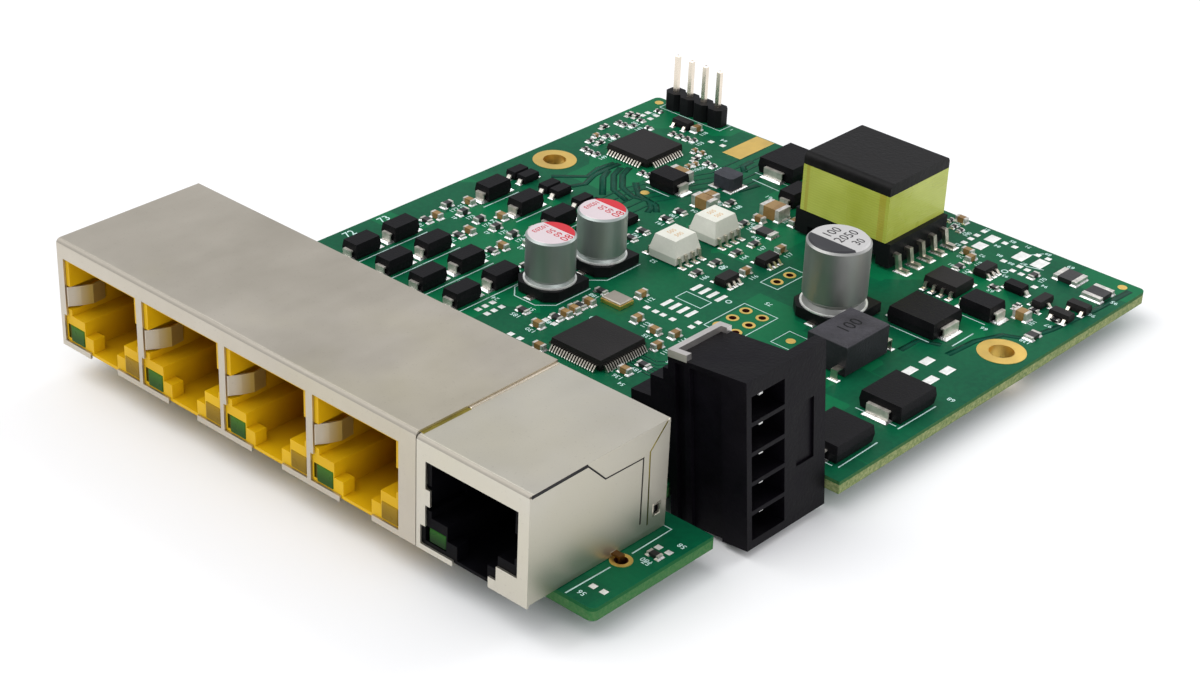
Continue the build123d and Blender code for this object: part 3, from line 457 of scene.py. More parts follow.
def lampFinish(name, colour, deep):
    finish = Finish(name, Specular_IOR_Level=0.09)
    cloud = finish.noise(900, 2.0)
    z = finish.xyz()[2]
    depth = finish.spread(z, 0.0, 1.0, 1.3 * mm, 3.0 * mm)
    finish.feed(
        Base_Color=finish.mix(depth, deep, colour),
        Roughness=finish.spread(cloud, 0.24, 0.38),
    )
    finish.bump(cloud, 0.00002, 0.4)
    return finish


finishes["singleLamp"] = lampFinish("singleLightPipe", (0.02, 0.11, 0.010), (0.006, 0.028, 0.005))
finishes["greenLamp"] = lampFinish("greenLightPipe", (0.050, 0.150, 0.014), (0.022, 0.070, 0.008))
finishes["amberLamp"] = lampFinish("amberLightPipe", (0.33, 0.195, 0.009), (0.22, 0.13, 0.007))


def tapeFinish():
    finish = Finish("windingTape", Coat_Weight=0.25, Coat_Roughness=0.12, Specular_IOR_Level=0.35)
    x = finish.xyz()[0]
    windings = makeNode(
        finish.tree,
        "ShaderNodeTexWave",
        {"wave_type": "BANDS", "bands_direction": "Z"},
        {"Vector": finish.place, "Scale": 900.0, "Distortion": 1.2, "Detail": 1.0},
        1,
    )
    cloud = finish.noise(160, 2.0)
    tone = finish.mix(finish.spread(cloud, 0.0, 1.0), (0.41, 0.46, 0.055), (0.54, 0.60, 0.11))
    tone = finish.mix(windings * 0.16, tone, (0.30, 0.30, 0.03))
    seam = ((x - 12.9 * mm).size().below(0.5 * mm)).larger((x - 1.2 * mm).size().below(0.25 * mm))
    finish.feed(
        Base_Color=finish.mix(seam * 0.45, tone, (0.40, 0.27, 0.02)),
        Roughness=finish.spread(cloud, 0.22, 0.34),
    )
    finish.bump(windings, 0.00002, 0.5)
    return finish


finishes["tape"] = tapeFinish()

capLook = {
    "polymerCentres": ((-11.7, -27.3), (-11.7, -18.0)),
    "polymerTop": 7.7,
    "polymerRadius": 3.15,
    "polymerSide": (0.40, 0.44, 0.42),
    "electrolyticCentre": (16.3, -6.9),
    "electrolyticTop": 10.2,
    "electrolyticRadius": 4.0,
    "electrolyticSide": (0.38, 0.38, 0.365),
    "printEdge": 1.3,
}


def canFinish(name, centres, top, radius, capColour, segmentColour, printSide, sideColour):
    # a satin can whose top has a printed segment on the +Y side (printSide 1) or the -Y side (-1)
    finish = Finish(name)
    x, y, z = finish.xyz()
    first, last = centres[0], centres[-1]
    upper = y.above((first[1] + last[1]) / 2 * mm)
    localY = y - first[1] * mm - upper * ((last[1] - first[1]) * mm)
    localX = x - first[0] * mm
    away = (localX * localX + localY * localY).root()
    onTop = z.above((top - 0.32) * mm) * away.below((radius - 0.25) * mm)
    segment = (localY * printSide).above(capLook["printEdge"] * mm) * onTop
    cloud = finish.noise(300, 3.0)
    streak = finish.noise(600, 2.0, 0.6, (1.0, 1.0, 0.08))
    side = finish.mix(finish.spread(streak, 0.0, 1.0), tuple(c * 0.9 for c in sideColour), sideColour)
    tone = finish.mix(onTop, side, capColour)
    tone = finish.mix(segment, tone, segmentColour)
    finish.feed(
        Base_Color=tone,
        Metallic=0.95 - onTop * 0.55 - segment * 0.40,
        Roughness=finish.spread(cloud, 0.42, 0.50) + onTop * 0.06,
    )
    finish.bump(streak * (1.0 - onTop), 0.000006, 0.4)
    return finish


finishes["polymerCan"] = canFinish(
    "polymerCan",
    capLook["polymerCentres"],
    capLook["polymerTop"],
    capLook["polymerRadius"],
    (0.72, 0.62, 0.64),
    (0.55, 0.010, 0.022),
    1.0,
    capLook["polymerSide"],
)
finishes["electrolyticCan"] = canFinish(
    "electrolyticCan",
    (capLook["electrolyticCentre"],),
    capLook["electrolyticTop"],
    capLook["electrolyticRadius"],
    (0.56, 0.55, 0.54),
    (0.016, 0.016, 0.020),
    -1.0,
    capLook["electrolyticSide"],
)


def chipCeramic(name, first, second, split):
    finish = Finish(name)
    cell = makeNode(
        finish.tree,
        "ShaderNodeTexVoronoi",
        None,
        {"Vector": finish.place, "Scale": split, "Randomness": 1.0},
        1,
    )
    pick = makeNode(finish.tree, "ShaderNodeSeparateColor", None, {0: cell})
    cloud = finish.noise(2600, 2.0)
    tone = finish.mix(pick, first, second)
    finish.feed(
        Base_Color=finish.mix(finish.spread(cloud, 0.0, 0.3), tone, tuple(c * 0.6 for c in first)),
        Roughness=finish.spread(cloud, 0.32, 0.45),
    )
    finish.bump(cloud, 0.00002, 0.4)
    return finish


finishes["capacitorCeramic"] = chipCeramic("firedCeramic", (0.23, 0.125, 0.035), (0.36, 0.22, 0.075), 420)
finishes["resistorCeramic"] = chipCeramic("glazedFilm", (0.010, 0.010, 0.011), (0.028, 0.026, 0.025), 420)

dress = {
    "circuit_board": "board",
    "mounting_hole_plating": "gold",
    "quad_jack_shield": "shield",
    "single_jack_shield": "shield",
    "quad_jack_housing": "yellow",
    "single_jack_housing": "jackBlack",
    "quad_jack_contacts": "contactGold",
    "single_jack_contacts": "contactGold",
    "quad_jack_green_lights": "greenLamp",
    "quad_jack_amber_lights": "amberLamp",
    "single_jack_lights": "singleLamp",
    "terminal_header_housing": "headerBlack",
    "terminal_header_clip": "staple",
    "terminal_header_pins": "pinTipGlint",
    "pin_header_body": "blackMoulding",
    "pin_header_pins": "foldGold",
    "transformer_bobbin": "blackMoulding",
    "transformer_core": "core",
    "transformer_tape": "tape",
    "electrolytic_can": "electrolyticCan",
    "electrolytic_base": "blackMoulding",
    "polymer_cans": "polymerCan",
    "polymer_bases": "blackMoulding",
    "choke_body": "choke",
    "optocoupler_bodies": "white",
    "switch_chip_body": "chipTop",
    "controller_body": "chipTop",
    "driver_body": "chipTop",
    "six_lead_bodies": "chipTop",
    "transistor_bodies": "chipTop",
    "crystal_base": "gold",
    "port_diode_bodies": "epoxy",
    "large_diode_bodies": "epoxy",
    "small_diode_bodies": "epoxy",
    "inductor_body": "greyFerrite",
    "chip_capacitor_bodies": "capacitorCeramic",
    "chip_resistor_bodies": "resistorCeramic",
    "crystal_lid": "lidMetal",
    "sense_resistor_bodies": "resistorCeramic",
    "switch_chip_leads": "fineLead",
    "controller_leads": "fineLead",
    "port_diode_terminals": "strapTin",
    "large_diode_terminals": "strapTin",
    "small_diode_terminals": "strapTin",
    "chip_capacitor_ends": "chipEnd",
    "chip_resistor_ends": "chipEnd",
    "sense_resistor_ends": "chipEnd",
}
for name, node in nodes.items():
    look = dress.get(name, "tin")
    node.data.materials.clear()
    node.data.materials.append(finishes[look].material)
print("nodes dressed:", len(nodes))


# modelling tools
def clearSelection():
    if bpy.context.mode != "OBJECT":
        bpy.ops.object.mode_set(mode="OBJECT")
    bpy.ops.object.select_all(action="DESELECT")


def finishPiece(piece, name, look):
    clearSelection()
    piece.select_set(True)
    bpy.context.view_layer.objects.active = piece
    bpy.ops.object.transform_apply(location=True, rotation=True, scale=True)
    piece.name = name
    piece.data.name = name
    piece.data.materials.clear()
    piece.data.materials.append(finishes[look].material)
    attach(piece, "root")
    return piece


def startPiece():
    # the first primitive becomes the piece, and the next ones join it in edit mode
    piece = bpy.context.object
    bpy.ops.object.transform_apply(location=True, rotation=True, scale=True)
    bpy.ops.object.mode_set(mode="EDIT")
    return piece


def bevelAll(offset, segments):
    bpy.ops.mesh.select_all(action="SELECT")
    bpy.ops.mesh.bevel(offset=offset * mm, segments=segments, affect="EDGES")
    bpy.ops.object.mode_set(mode="OBJECT")


def plates(name, rows, bottom, top, look, bevel=0.06, lift=0.0):
    # rows: x, y, width and depth in mm; a lift raises the inset top face into a soft dome
    clearSelection()
    for count, (x, y, width, depth) in enumerate(rows):
        bpy.ops.mesh.primitive_cube_add(
            size=mm,
            location=(x * mm, y * mm, (bottom + top) / 2 * mm),
            scale=(width, depth, top - bottom),
        )
        if count == 0:
            piece = startPiece()
    bpy.ops.mesh.select_all(action="DESELECT")
    shape = bmesh.from_edit_mesh(piece.data)
    for face in shape.faces:
        face.select = face.normal.z > 0.9
    shape.select_flush(True)
    if lift:
        bpy.ops.mesh.inset(thickness=bevel * mm, depth=0, use_individual=True)
        bpy.ops.transform.translate(value=(0, 0, lift * mm))
    else:
        bpy.ops.mesh.bevel(offset=bevel * mm, segments=1, affect="EDGES")
    bpy.ops.object.mode_set(mode="OBJECT")
    return finishPiece(piece, name, look)


def strokes(name, lines, width, level, look, rise=0.02, stand=None):
    # flat ribbons along routes in mm: a thin curve, turned into a mesh and flattened
    # stand turns the flat ribbons to another face of the object
    clearSelection()
    curve = bpy.data.curves.new(name, "CURVE")
    curve.dimensions = "3D"
    curve.bevel_depth = width / 2 * mm
    curve.bevel_resolution = 0
    curve.use_fill_caps = True
    for line in lines:
        closed = line[0] == line[-1] and len(line) > 2
        points = line[:-1] if closed else line
        spline = curve.splines.new("POLY")
        spline.points.add(len(points) - 1)
        spline.use_cyclic_u = closed
        for point, (x, y) in zip(spline.points, points):
            point.co = (x * mm, y * mm, 0, 1)
    piece = bpy.data.objects.new(name, curve)
    bpy.context.collection.objects.link(piece)
    piece.select_set(True)
    bpy.context.view_layer.objects.active = piece
    bpy.ops.object.convert(target="MESH")
    piece = bpy.context.object
    mergeCorners()
    flat = Matrix.Translation((0, 0, level * mm)) @ Matrix.Diagonal((1, 1, rise / width, 1))
    piece.matrix_world = stand @ flat if stand else flat
    return finishPiece(piece, name, look)


def mergeCorners():
    # a converted curve or text has double corners where its faces meet
    bpy.ops.object.mode_set(mode="EDIT")
    bpy.ops.mesh.select_all(action="SELECT")
    bpy.ops.mesh.remove_doubles(threshold=0.001 * mm)
    bpy.ops.object.mode_set(mode="OBJECT")


def ring(x, y, radius, steps=20):
    turns = [2 * math.pi * step / steps for step in range(steps)]
    points = [(x + radius * math.cos(turn), y + radius * math.sin(turn)) for turn in turns]
    return points + points[:1]


def box(left, front, right, back):
    return [(left, front), (right, front), (right, back), (left, back), (left, front)]


def lettering(name, words, look, level):
    # words: text, x, y, size, turn in degrees; only plain numbers are used
    pieces = []
    for text, x, y, size, turn in words:
        clearSelection()
        bpy.ops.object.text_add(location=(x * mm, y * mm, level * mm), rotation=(0, 0, math.radians(turn)))
        item = bpy.context.object
        item.data.body = text
        item.data.size = size * mm
        item.data.align_x = "CENTER"
        item.data.align_y = "CENTER"
        item.data.resolution_u = 2
        item.data.extrude = 0.008 * mm
        bpy.ops.object.convert(target="MESH")
        mergeCorners()
        pieces.append(bpy.context.object)
    clearSelection()
    for piece in pieces:
        piece.select_set(True)
    bpy.context.view_layer.objects.active = pieces[0]
    if len(pieces) > 1:
        bpy.ops.object.join()
    return finishPiece(bpy.context.object, name, look)


# bare pads
diodeColumns = [-34.4 + 5.87 * column for column in range(4)]
barePads = [
    (x, y, 0.75, 0.75)
    for x, y in (
        (-14.0, -34.9), (-14.0, -36.2), (-14.0, -37.4), (-12.5, -34.9), (-12.5, -36.2), (-12.5, -37.4),
        (-7.1, -38.9), (-5.6, -38.9), (-6.6, -33.4), (-5.2, -33.4),
        (-0.2, -22.3), (1.2, -22.3), (2.4, -22.3), (3.9, -22.3), (6.7, -22.1), (6.6, -20.7),
        (-37.8, 20.9), (-37.7, 19.7), (-36.3, 21.0), (-36.2, 19.6), (-25.4, 20.0), (-23.5, 20.2),
        (16.7, 24.9), (16.7, 23.3), (16.7, 21.9), (16.7, 20.4), (20.5, 24.1), (22.0, 24.1),
        (25.4, 24.3), (26.9, 24.4), (23.2, 19.8), (25.5, 20.0), (26.7, 19.9), (25.5, 18.4), (26.8, 18.4),
        (29.9, 16.7), (34.55, -70.26), (35.98, -70.22), (34.62, -60.29), (36.02, -60.28),
    )
]
barePads += [(0.7 + 1.3 * index, y, 0.62, 2.0) for index in range(4) for y in (-14.0, -19.6)]
barePads += [(18.7, 23.9, 1.5, 1.9), (18.7, 21.1, 1.5, 1.9), (24.1, 22.5, 1.6, 2.4), (26.9, 22.5, 1.6, 2.4)]
barePads += [(31.4, -8.3, 1.2, 1.9), (31.3, -11.6, 1.2, 1.9), (34.4, -8.4, 1.2, 1.9), (34.3, -11.6, 1.2, 1.9)]
plates("bare_pads", barePads, 0.0, 0.02, "padTin", 0.16, 0.025)
print("bare pads placed")


def discs(name, rows, bottom, top, look, steps=24):
    # rows: x, y and radius in mm
    clearSelection()
    for count, (x, y, radius) in enumerate(rows):
        bpy.ops.mesh.primitive_cylinder_add(
            vertices=steps,
            radius=radius * mm,
            depth=(top - bottom) * mm,
            location=(x * mm, y * mm, (bottom + top) / 2 * mm),
        )
        if count == 0:
            piece = startPiece()
    bevelAll((top - bottom) * 0.3, 1)
    return finishPiece(piece, name, look)


def tubes(name, rows, bottom, top, look, steps=24):
    # rows: x, y, outer radius and wall in mm; open bands that get one wall thickness
    clearSelection()
    for count, (x, y, radius, wall) in enumerate(rows):
        bpy.ops.mesh.primitive_cylinder_add(
            vertices=steps,
            radius=(radius - wall / 2) * mm,
            depth=(top - bottom) * mm,
            end_fill_type="NOTHING",
            location=(x * mm, y * mm, (bottom + top) / 2 * mm),
        )
        if count == 0:
            piece = startPiece()
    bpy.ops.object.mode_set(mode="OBJECT")
    solid = piece.modifiers.new("wall", "SOLIDIFY")
    solid.thickness = rows[0][3] * mm
    solid.offset = 0.0
    bpy.ops.object.modifier_apply(modifier="wall")
    return finishPiece(piece, name, look)


holeLook = {  # outer radius and wall of each kind of ring and sleeve
    "dotRadius": 0.62,
    "smallRing": (0.82, 0.34),
    "smallSleeve": (0.48, 0.04),
    "legRing": (1.25, 0.48),
    "legSleeve": (0.77, 0.04),
    "mountSleeve": (1.62, 0.06),
    "backRing": (3.0, 1.4),
    "pitch": 2.54,
    "under": -1.6,
}
fiducials = [(-39.0, 24.7), (-21.2, 1.3), (9.0, -24.8), (37.7, 24.7), (17.2, -16.2)]
pitch = holeLook["pitch"]
smallHoles = [(10.0 + pitch * column, -16.8 + pitch * row) for column in (-0.5, 0.5) for row in (-1, 0, 1)]
smallHoles += [(6.7, -4.4 + pitch * row) for row in (-0.5, 0.5)]
legHoles = [(33.5, -64.85)]
mountingHoles = [(-36.3, 0.0), (36.3, 0.0)]
dots = [(*spot, holeLook["dotRadius"]) for spot in fiducials]
discs("fiducial_dots", dots, 0.0, 0.03, "gold")
plates("gold_field", [(-20.6, 22.3, 3.1, 7.5)], 0.0, 0.03, "gold", 0.012)
plating = [  # name, places, kind, bottom, top, finish and steps round
    ("small_hole_rings", smallHoles, "smallRing", 0.0, 0.04, "gold", 20),
    # the brown sleeves are painted shade inside the small holes and the leg hole
    ("small_hole_sleeves", smallHoles, "smallSleeve", holeLook["under"], 0.03, "brownHole", 16),
    ("leg_hole_ring", legHoles, "legRing", 0.0, 0.06, "gold", 28),
    ("leg_hole_sleeve", legHoles, "legSleeve", holeLook["under"], 0.05, "brownHole", 20),
    ("mounting_hole_sleeves", mountingHoles, "mountSleeve", holeLook["under"], 0.05, "gold", 40),
    ("mounting_hole_back_rings", mountingHoles, "backRing", -1.66, holeLook["under"], "gold", 40),
]
for name, places, kind, bottom, top, look, steps in plating:
    tubes(name, [(*spot, *holeLook[kind]) for spot in places], bottom, top, look, steps)
print("gold pads and rings placed")


def standingPlates(name, rows, front, back, look, bevel):
    # rows: x, z, width and height in mm of small blocks seen from the front
    clearSelection()
    for count, (x, z, width, height) in enumerate(rows):
        bpy.ops.mesh.primitive_cube_add(
            size=mm,
            location=(x * mm, (front + back) / 2 * mm, z * mm),
            scale=(width, back - front, height),
        )
        if count == 0:
            piece = startPiece()
    bevelAll(bevel, 2)
    return finishPiece(piece, name, look)


lens = {
    "front": 0.20,
    "back": 0.62,
    "inner": 3.68,
    "outer": 6.44,
    "low": 0.62,
    "high": 2.74,
    "gap": 0.26,
    "bevel": 0.14,
}
lensFront = jack["front"] + lens["front"]
lensBack = jack["front"] + lens["back"]
lensMiddle = (lens["inner"] + lens["outer"] - lens["gap"]) / 2
lensSize = (lens["outer"] - lens["gap"] - lens["inner"], lens["high"] - lens["low"])
lensZ = (lens["low"] + lens["high"]) / 2
gapMiddle = lens["outer"] - lens["gap"] / 2
greenLenses = [(x - lensMiddle, lensZ, *lensSize) for x in portCentres]
amberLenses = [(x + lensMiddle, lensZ, *lensSize) for x in portCentres]
lensGapShades = [(x + side * gapMiddle, lensZ, lens["gap"], lensSize[1]) for x in portCentres for side in (-1, 1)]
singleLens = [
    (jack["singlePort"] - jack["lightOffset"], jack["lightMiddle"], jack["lightWidth"], jack["lightHeight"])
]
bevel = lens["bevel"]
standingPlates("green_lens_faces", greenLenses, lensFront, lensBack, "greenLamp", bevel)
standingPlates("amber_lens_faces", amberLenses, lensFront, lensBack, "amberLamp", bevel)
# the lens gap plates are dark olive painted shade in the slots beside the lenses
standingPlates("lens_gap_shades", lensGapShades, lensFront + 0.14, lensBack, "olive", 0.02)
lensFront = jack["front"] + 0.34
lensBack = jack["front"] + 0.66
standingPlates("single_lens_face", singleLens, lensFront, lensBack, "singleLamp", bevel)
print("lens faces placed")

# painted shade in the gap between the two jacks, a pale fold beside it, and the seams of the single jack's
# side, with painted shadow along the front seams
jackGapShade = {
    "start": jack["front"] + 0.7,
    "end": jack["front"] + 7.5,
    "width": 0.46,
    "foldWidth": 0.30,
    "foldRise": 0.10,
}
slotLength = jackGapShade["end"] - jackGapShade["start"]
slotMiddle = (jackGapShade["start"] + jackGapShade["end"]) / 2
foldLength = jack["back"] - jackGapShade["end"] - 0.2
foldMiddle = (jackGapShade["end"] + jack["back"]) / 2
slotPlate = [(jack["singleLeft"] + 0.12, slotMiddle, jackGapShade["width"], slotLength)]
foldPlate = [(jack["singleLeft"] + 0.06, foldMiddle, jackGapShade["foldWidth"], foldLength)]
singleTop = jack["singleTop"]
# the plate in the gap between the jacks is a dark brass tone standing for painted shade
plates("jack_gap_shade", slotPlate, singleTop, singleTop + 0.04, "brass", 0.01)
foldTop = singleTop + jackGapShade["foldRise"]
plates("jack_fold_edge", foldPlate, singleTop, foldTop, "foldGold", 0.04)
sideWall = Matrix(((0, 0, 1, 0), (1, 0, 0, 0), (0, 1, 0, 0), (0, 0, 0, 1)))
wallLevel = jack["singleRight"] + 0.004
# the seam_shadow routes are painted shadow under the top fold of the single jack's side
wallSeams = [  # name, route as y and z, width, finish and slot
    ("seam_shadow_front", [(-77.45, 12.86), (-69.4, 12.96)], 0.42, "darkInk", "jack_black"),
    (
        "seam_shadow_fold",
        [(-69.5, 13.02), (-66.6, 10.2), (-60.85, 10.1), (-60.85, 2.0)],
        0.17,
        "darkInk",
        "jack_black",
    ),
    ("seam_brass", [(-57.3, 12.95), (-59.8, 10.4), (-59.65, 1.4)], 0.22, "brass", "contact_gold"),
    ("latch_hole_rim", box(-58.85, 2.1, -57.75, 3.5), 0.20, "foldGold", "jack_shield"),
]
for name, route, width, look, slotName in wallSeams:
    strokes(name, [route], width, wallLevel, look, 0.01, sideWall)
print("jack seams laid")

# beads where the cans meet their bases, drawn pale as a painted highlight
cans = [(x, y, capLook["polymerRadius"]) for x, y in capLook["polymerCentres"]]
cans.append((*capLook["electrolyticCentre"], capLook["electrolyticRadius"]))
bead = {"out": 0.16, "wall": 0.24, "low": 1.5, "high": 1.68}
beadRings = [(x, y, radius + bead["out"], bead["wall"]) for x, y, radius in cans]
tubes("can_foot_bead_highlights", beadRings, bead["low"], bead["high"], "padTin", 48)
print("cans trimmed")


# solder round the ends and toes of the parts
def looseParts(name):
    # the separate solids of a node, each as a list of corner places in mm
    mesh = nodes[name].data
    corners = [tuple(round(c / mm, 3) for c in vertex.co) for vertex in mesh.vertices]
    leader = {spot: spot for spot in corners}

    def find(spot):
        while leader[spot] != spot:
            spot = leader[spot]
        return spot

    for face in mesh.polygons:
        first = find(corners[face.vertices[0]])
        for index in face.vertices[1:]:
            leader[find(corners[index])] = first
    parts = {}
    for spot in leader:
        parts.setdefault(find(spot), []).append(spot)
    return list(parts.values())


def footprint(part, depth=0.05):
    low = min(spot[2] for spot in part)
    foot = [spot for spot in part if spot[2] < low + depth]
    left, right = min(spot[0] for spot in foot), max(spot[0] for spot in foot)
    front, back = min(spot[1] for spot in foot), max(spot[1] for spot in foot)
    return (left + right) / 2, (front + back) / 2, right - left, back - front


def skirts(names, grow):
    rows = []
    for name in names:
        for part in looseParts(name):
            x, y, width, depth = footprint(part)
            rows.append((x, y, width + 2 * grow, depth + 2 * grow))
    return rows


def growMore(rows, length, along):
    # longer solder for terminals whose foot is only the sheet's thickness
    return [
        (x, y, width + (length if width < along else 0), depth + (length if depth < along else 0))
        for x, y, width, depth in rows
    ]


chipFeet = ["chip_capacitor_ends", "chip_resistor_ends", "sense_resistor_ends"]
leadFeet = ["optocoupler_leads", "six_lead_leads", "transistor_leads", "driver_leads"]
leadFeet += ["small_diode_terminals"]
pinFeet = ["transformer_pins", "choke_terminals"]
strapFeet = ["port_diode_terminals", "large_diode_terminals"]
canFeet = ["polymer_leads", "electrolytic_leads", "inductor_terminals"]
straps = growMore(skirts(strapFeet, 0.2), 0.7, 0.7)
solderRows = [  # name, feet, edge height, inset and rise
    ("chip_solder", skirts(chipFeet, 0.15), 0.04, 0.14, 0.18),
    ("lead_solder", skirts(leadFeet, 0.17) + skirts(pinFeet, 0.3), 0.07, 0.15, 0.10),
    ("diode_solder", straps, 0.10, 0.28, 0.22),
    ("can_solder", skirts(canFeet, 0.22), 0.06, 0.20, 0.08),
]
for name, feet, edge, inset, rise in solderRows:
    plates(name, feet, 0.0, edge, "solder", inset, rise)
print("solder laid")

# more of the smallest chip parts, with their ends and pads
tinyChips = [
    (26.6, 12.7, "x"), (33.5, 11.2, "x"), (36.6, 11.0, "x"), (-38.7, 12.6, "y"), (-39.0, 18.3, "y"),
    (-38.0, 18.6, "y"), (-35.6, 8.3, "y"), (-23.2, 14.0, "y"), (-26.0, 12.2, "y"), (-27.0, 12.0, "y"),
    (-9.5, 0.6, "x"), (24.0, 15.7, "y"), (31.3, 10.6, "y"),
]
tinyChip = {
    "length": 1.15,
    "width": 0.6,
    "height": 0.4,
    "endShare": 0.24,
    "padShift": 0.12,
}


def chipPieces(chips, chip):
    middles, ends, pads = [], [], []
    width = chip["width"]
    cap = chip["length"] * chip["endShare"]
    reach = chip["length"] * (1 - chip["endShare"]) / 2
    for x, y, axis in chips:
        along = (1, 0) if axis == "x" else (0, 1)
        size = (chip["length"], width) if axis == "x" else (width, chip["length"])
        endSize = (cap, width) if axis == "x" else (width, cap)
        middles.append((x, y, size[0] - along[0] * 0.1, size[1] - along[1] * 0.1))
        for side in (-reach, reach):
            ends.append((x + side * along[0], y + side * along[1], *endSize))
            side += math.copysign(chip["padShift"], side)
            pads.append((x + side * along[0], y + side * along[1], width + 0.1, width + 0.1))
    plates("tiny_chip_bodies", middles, 0.02, chip["height"], "resistorCeramic", 0.04)
    plates("tiny_chip_ends", ends, 0.01, chip["height"] + 0.03, "chipEnd", 0.03)
    plates("tiny_chip_pads", pads, 0.0, 0.03, "solder", 0.14, 0.06)


chipPieces(tinyChips, tinyChip)
print("smallest chips placed")


# silkscreen
inkWidth = 0.20
inkLevel = 0.012
silkLines = []
for x in diodeColumns:
    for y in (-37.4, -30.7, -13.9):
        silkLines.append([(x + 1.6, y - 3.4), (x + 1.6, y + 3.2)])
silkLines += [
    [(-14.9, -23.7), (-14.9, -30.1), (-13.4, -31.7), (-10.0, -31.7), (-8.2, -29.9), (-8.2, -23.7)],
    [(-14.9, -14.4), (-14.9, -20.8), (-13.4, -22.4), (-10.0, -22.4), (-8.2, -20.6), (-8.2, -14.4)],
    [(33.34, -73.1), (33.5, -66.5)],
    [(33.44, -63.1), (33.4, -56.8), (32.1, -56.8)],
    box(0.5, -17.8, 4.5, -15.7),
    box(7.4, -20.6, 12.6, -12.9),
    [(-13.9, 14.9), (-9.2, 14.7)],
    [(31.4, -3.2), (31.4, 1.2)],
    [(38.1, -23.3), (38.2, -16.1)],
    [(38.3, -34.6), (38.2, -27.3)],
    box(5.3, -7.2, 8.0, -1.4),
    ring(-0.5, -7.7, 0.35, 12),
    ring(5.8, -14.0, 0.35, 12),
    ring(6.7, -36.8, 0.42, 12),
    ring(20.2, 17.6, 0.4, 12),
    ring(24.9, 17.5, 0.4, 12),
    box(-37.9, 23.6, -26.9, 26.0),
    box(15.6, -18.0, 18.8, -14.4),
    [(24.6, 23.6), (25.7, 25.2)],
    [(26.0, 20.6), (28.2, 21.4)],
]
for part in looseParts("large_diode_bodies"):
    x, y, width, depth = footprint(part)
    front = y - depth / 2 - 0.45
    silkLines.append([(x - width / 2 - 0.3, front), (x + width / 2 - 0.2, front)])
strokes("silk_lines", silkLines, inkWidth, inkLevel, "silk")
silkWords = []
for index, x in enumerate(diodeColumns):
    silkWords.append((str(11 + index), x + 2.3, -40.6, 1.0, 180))
    silkWords.append((str(21 + index), x + 2.3, -33.9, 1.0, 180))
    silkWords.append((str(31 + index), x + 2.3, -10.9, 1.0, 180))
    silkWords.append((str(41 + index), x + 1.1, -22.1, 0.9, 180))
silkWords += [
    ("51", -9.6, -32.7, 1.0, 180), ("52", -7.6, -12.6, 1.0, 180), ("53", -3.0, -29.0, 0.9, 180),
    ("54", 9.8, -38.2, 0.9, 180), ("55", 10.4, -30.4, 0.9, 180), ("56", 34.5, -71.9, 1.0, 180),
    ("57", 35.6, -63.3, 1.0, 180), ("58", 36.2, -58.4, 1.0, 180), ("61", -9.0, 12.3, 1.0, 180),
    ("62", -16.0, 21.6, 1.0, 180), ("63", -34.0, 13.4, 1.0, 180), ("64", -24.4, 21.6, 1.0, 180),
    ("65", 26.6, 11.9, 1.0, 180), ("66", 31.6, 3.2, 1.0, 180), ("67", 20.6, -17.2, 1.0, 180),
    ("68", 38.6, -13.6, 1.0, 180), ("69", 30.2, 24.6, 1.0, 180), ("71", 23.2, 25.4, 0.9, 180),
    ("72", -39.2, -35.0, 1.8, 90), ("73", -39.2, -29.0, 1.8, 90), ("74", 4.6, 3.6, 1.0, 180),
    ("75", 9.6, -10.9, 1.0, 180), ("1", -26.0, 25.2, 0.9, 180), ("4", -38.6, 25.0, 0.9, 180),
    ("81", 16.7, 25.6, 0.9, 180), ("82", 15.4, 22.6, 0.9, 180), ("83", 16.5, 19.3, 0.9, 180),
    ("84", 20.3, 22.7, 0.9, 180), ("85", 21.0, 25.2, 0.9, 180), ("86", 22.0, 20.7, 0.9, 180),
    ("87", 25.5, 21.0, 0.9, 180), ("88", 24.3, 19.9, 0.9, 180), ("89", 26.2, 25.5, 0.9, 180),
    ("91", 19.1, 14.1, 0.9, 180), ("92", 20.5, 19.0, 0.9, 180), ("93", 25.7, 16.5, 0.9, 180),
    ("94", 30.7, 17.8, 0.9, 180), ("95", 39.2, 20.4, 1.0, 180), ("96", 39.0, 15.6, 1.0, 180),
    ("97", 36.7, 9.5, 1.0, 180), ("98", 33.2, 14.6, 0.9, 180), ("99", 28.6, 10.2, 0.9, 180),
]
chipBodies = looseParts("chip_capacitor_bodies") + looseParts("chip_resistor_bodies")
for index, part in enumerate(chipBodies):
    x, y, width, depth = footprint(part)
    if width > depth:
        silkWords.append((str(101 + index), x, y - depth / 2 - 0.85, 1.0, 180))
    else:
        silkWords.append((str(101 + index), x + width / 2 + 0.95, y, 1.0, 90))
lettering("silk_numbers", silkWords, "silk", inkLevel)
print("silkscreen printed")

# plain numbers printed on the cans, and raised on the choke
printRise = 0.006
redWords = []
for x, y in capLook["polymerCentres"]:
    redWords += [
        ("10203", x - 1.7, y - 0.2, 1.05, -90),
        ("50", x - 0.3, y + 0.2, 1.25, -90),
        ("60", x + 0.9, y + 0.2, 1.25, -90),
        ("80", x + 2.15, y + 0.3, 1.7, -90),
    ]
lettering("polymer_numbers", redWords, "redInk", capLook["polymerTop"] + printRise)
x, y = capLook["electrolyticCentre"]
darkWords = [
    ("100", x - 1.5, y + 0.5, 1.9, 90),
    ("2050", x + 0.4, y + 0.9, 1.9, 90),
    ("30", x + 2.3, y + 0.8, 1.7, 90),
]
darkLevel = capLook["electrolyticTop"] + printRise
lettering("electrolytic_numbers", darkWords, "darkInk", darkLevel)
lettering("choke_numbers", [("100", 24.15, -14.3, 2.5, 90)], "blackMoulding", 4.2)
couplerWords = [("505", x, y, 0.95, 90) for x in (-7.3, -6.1) for y in (-9.65, -1.85)]
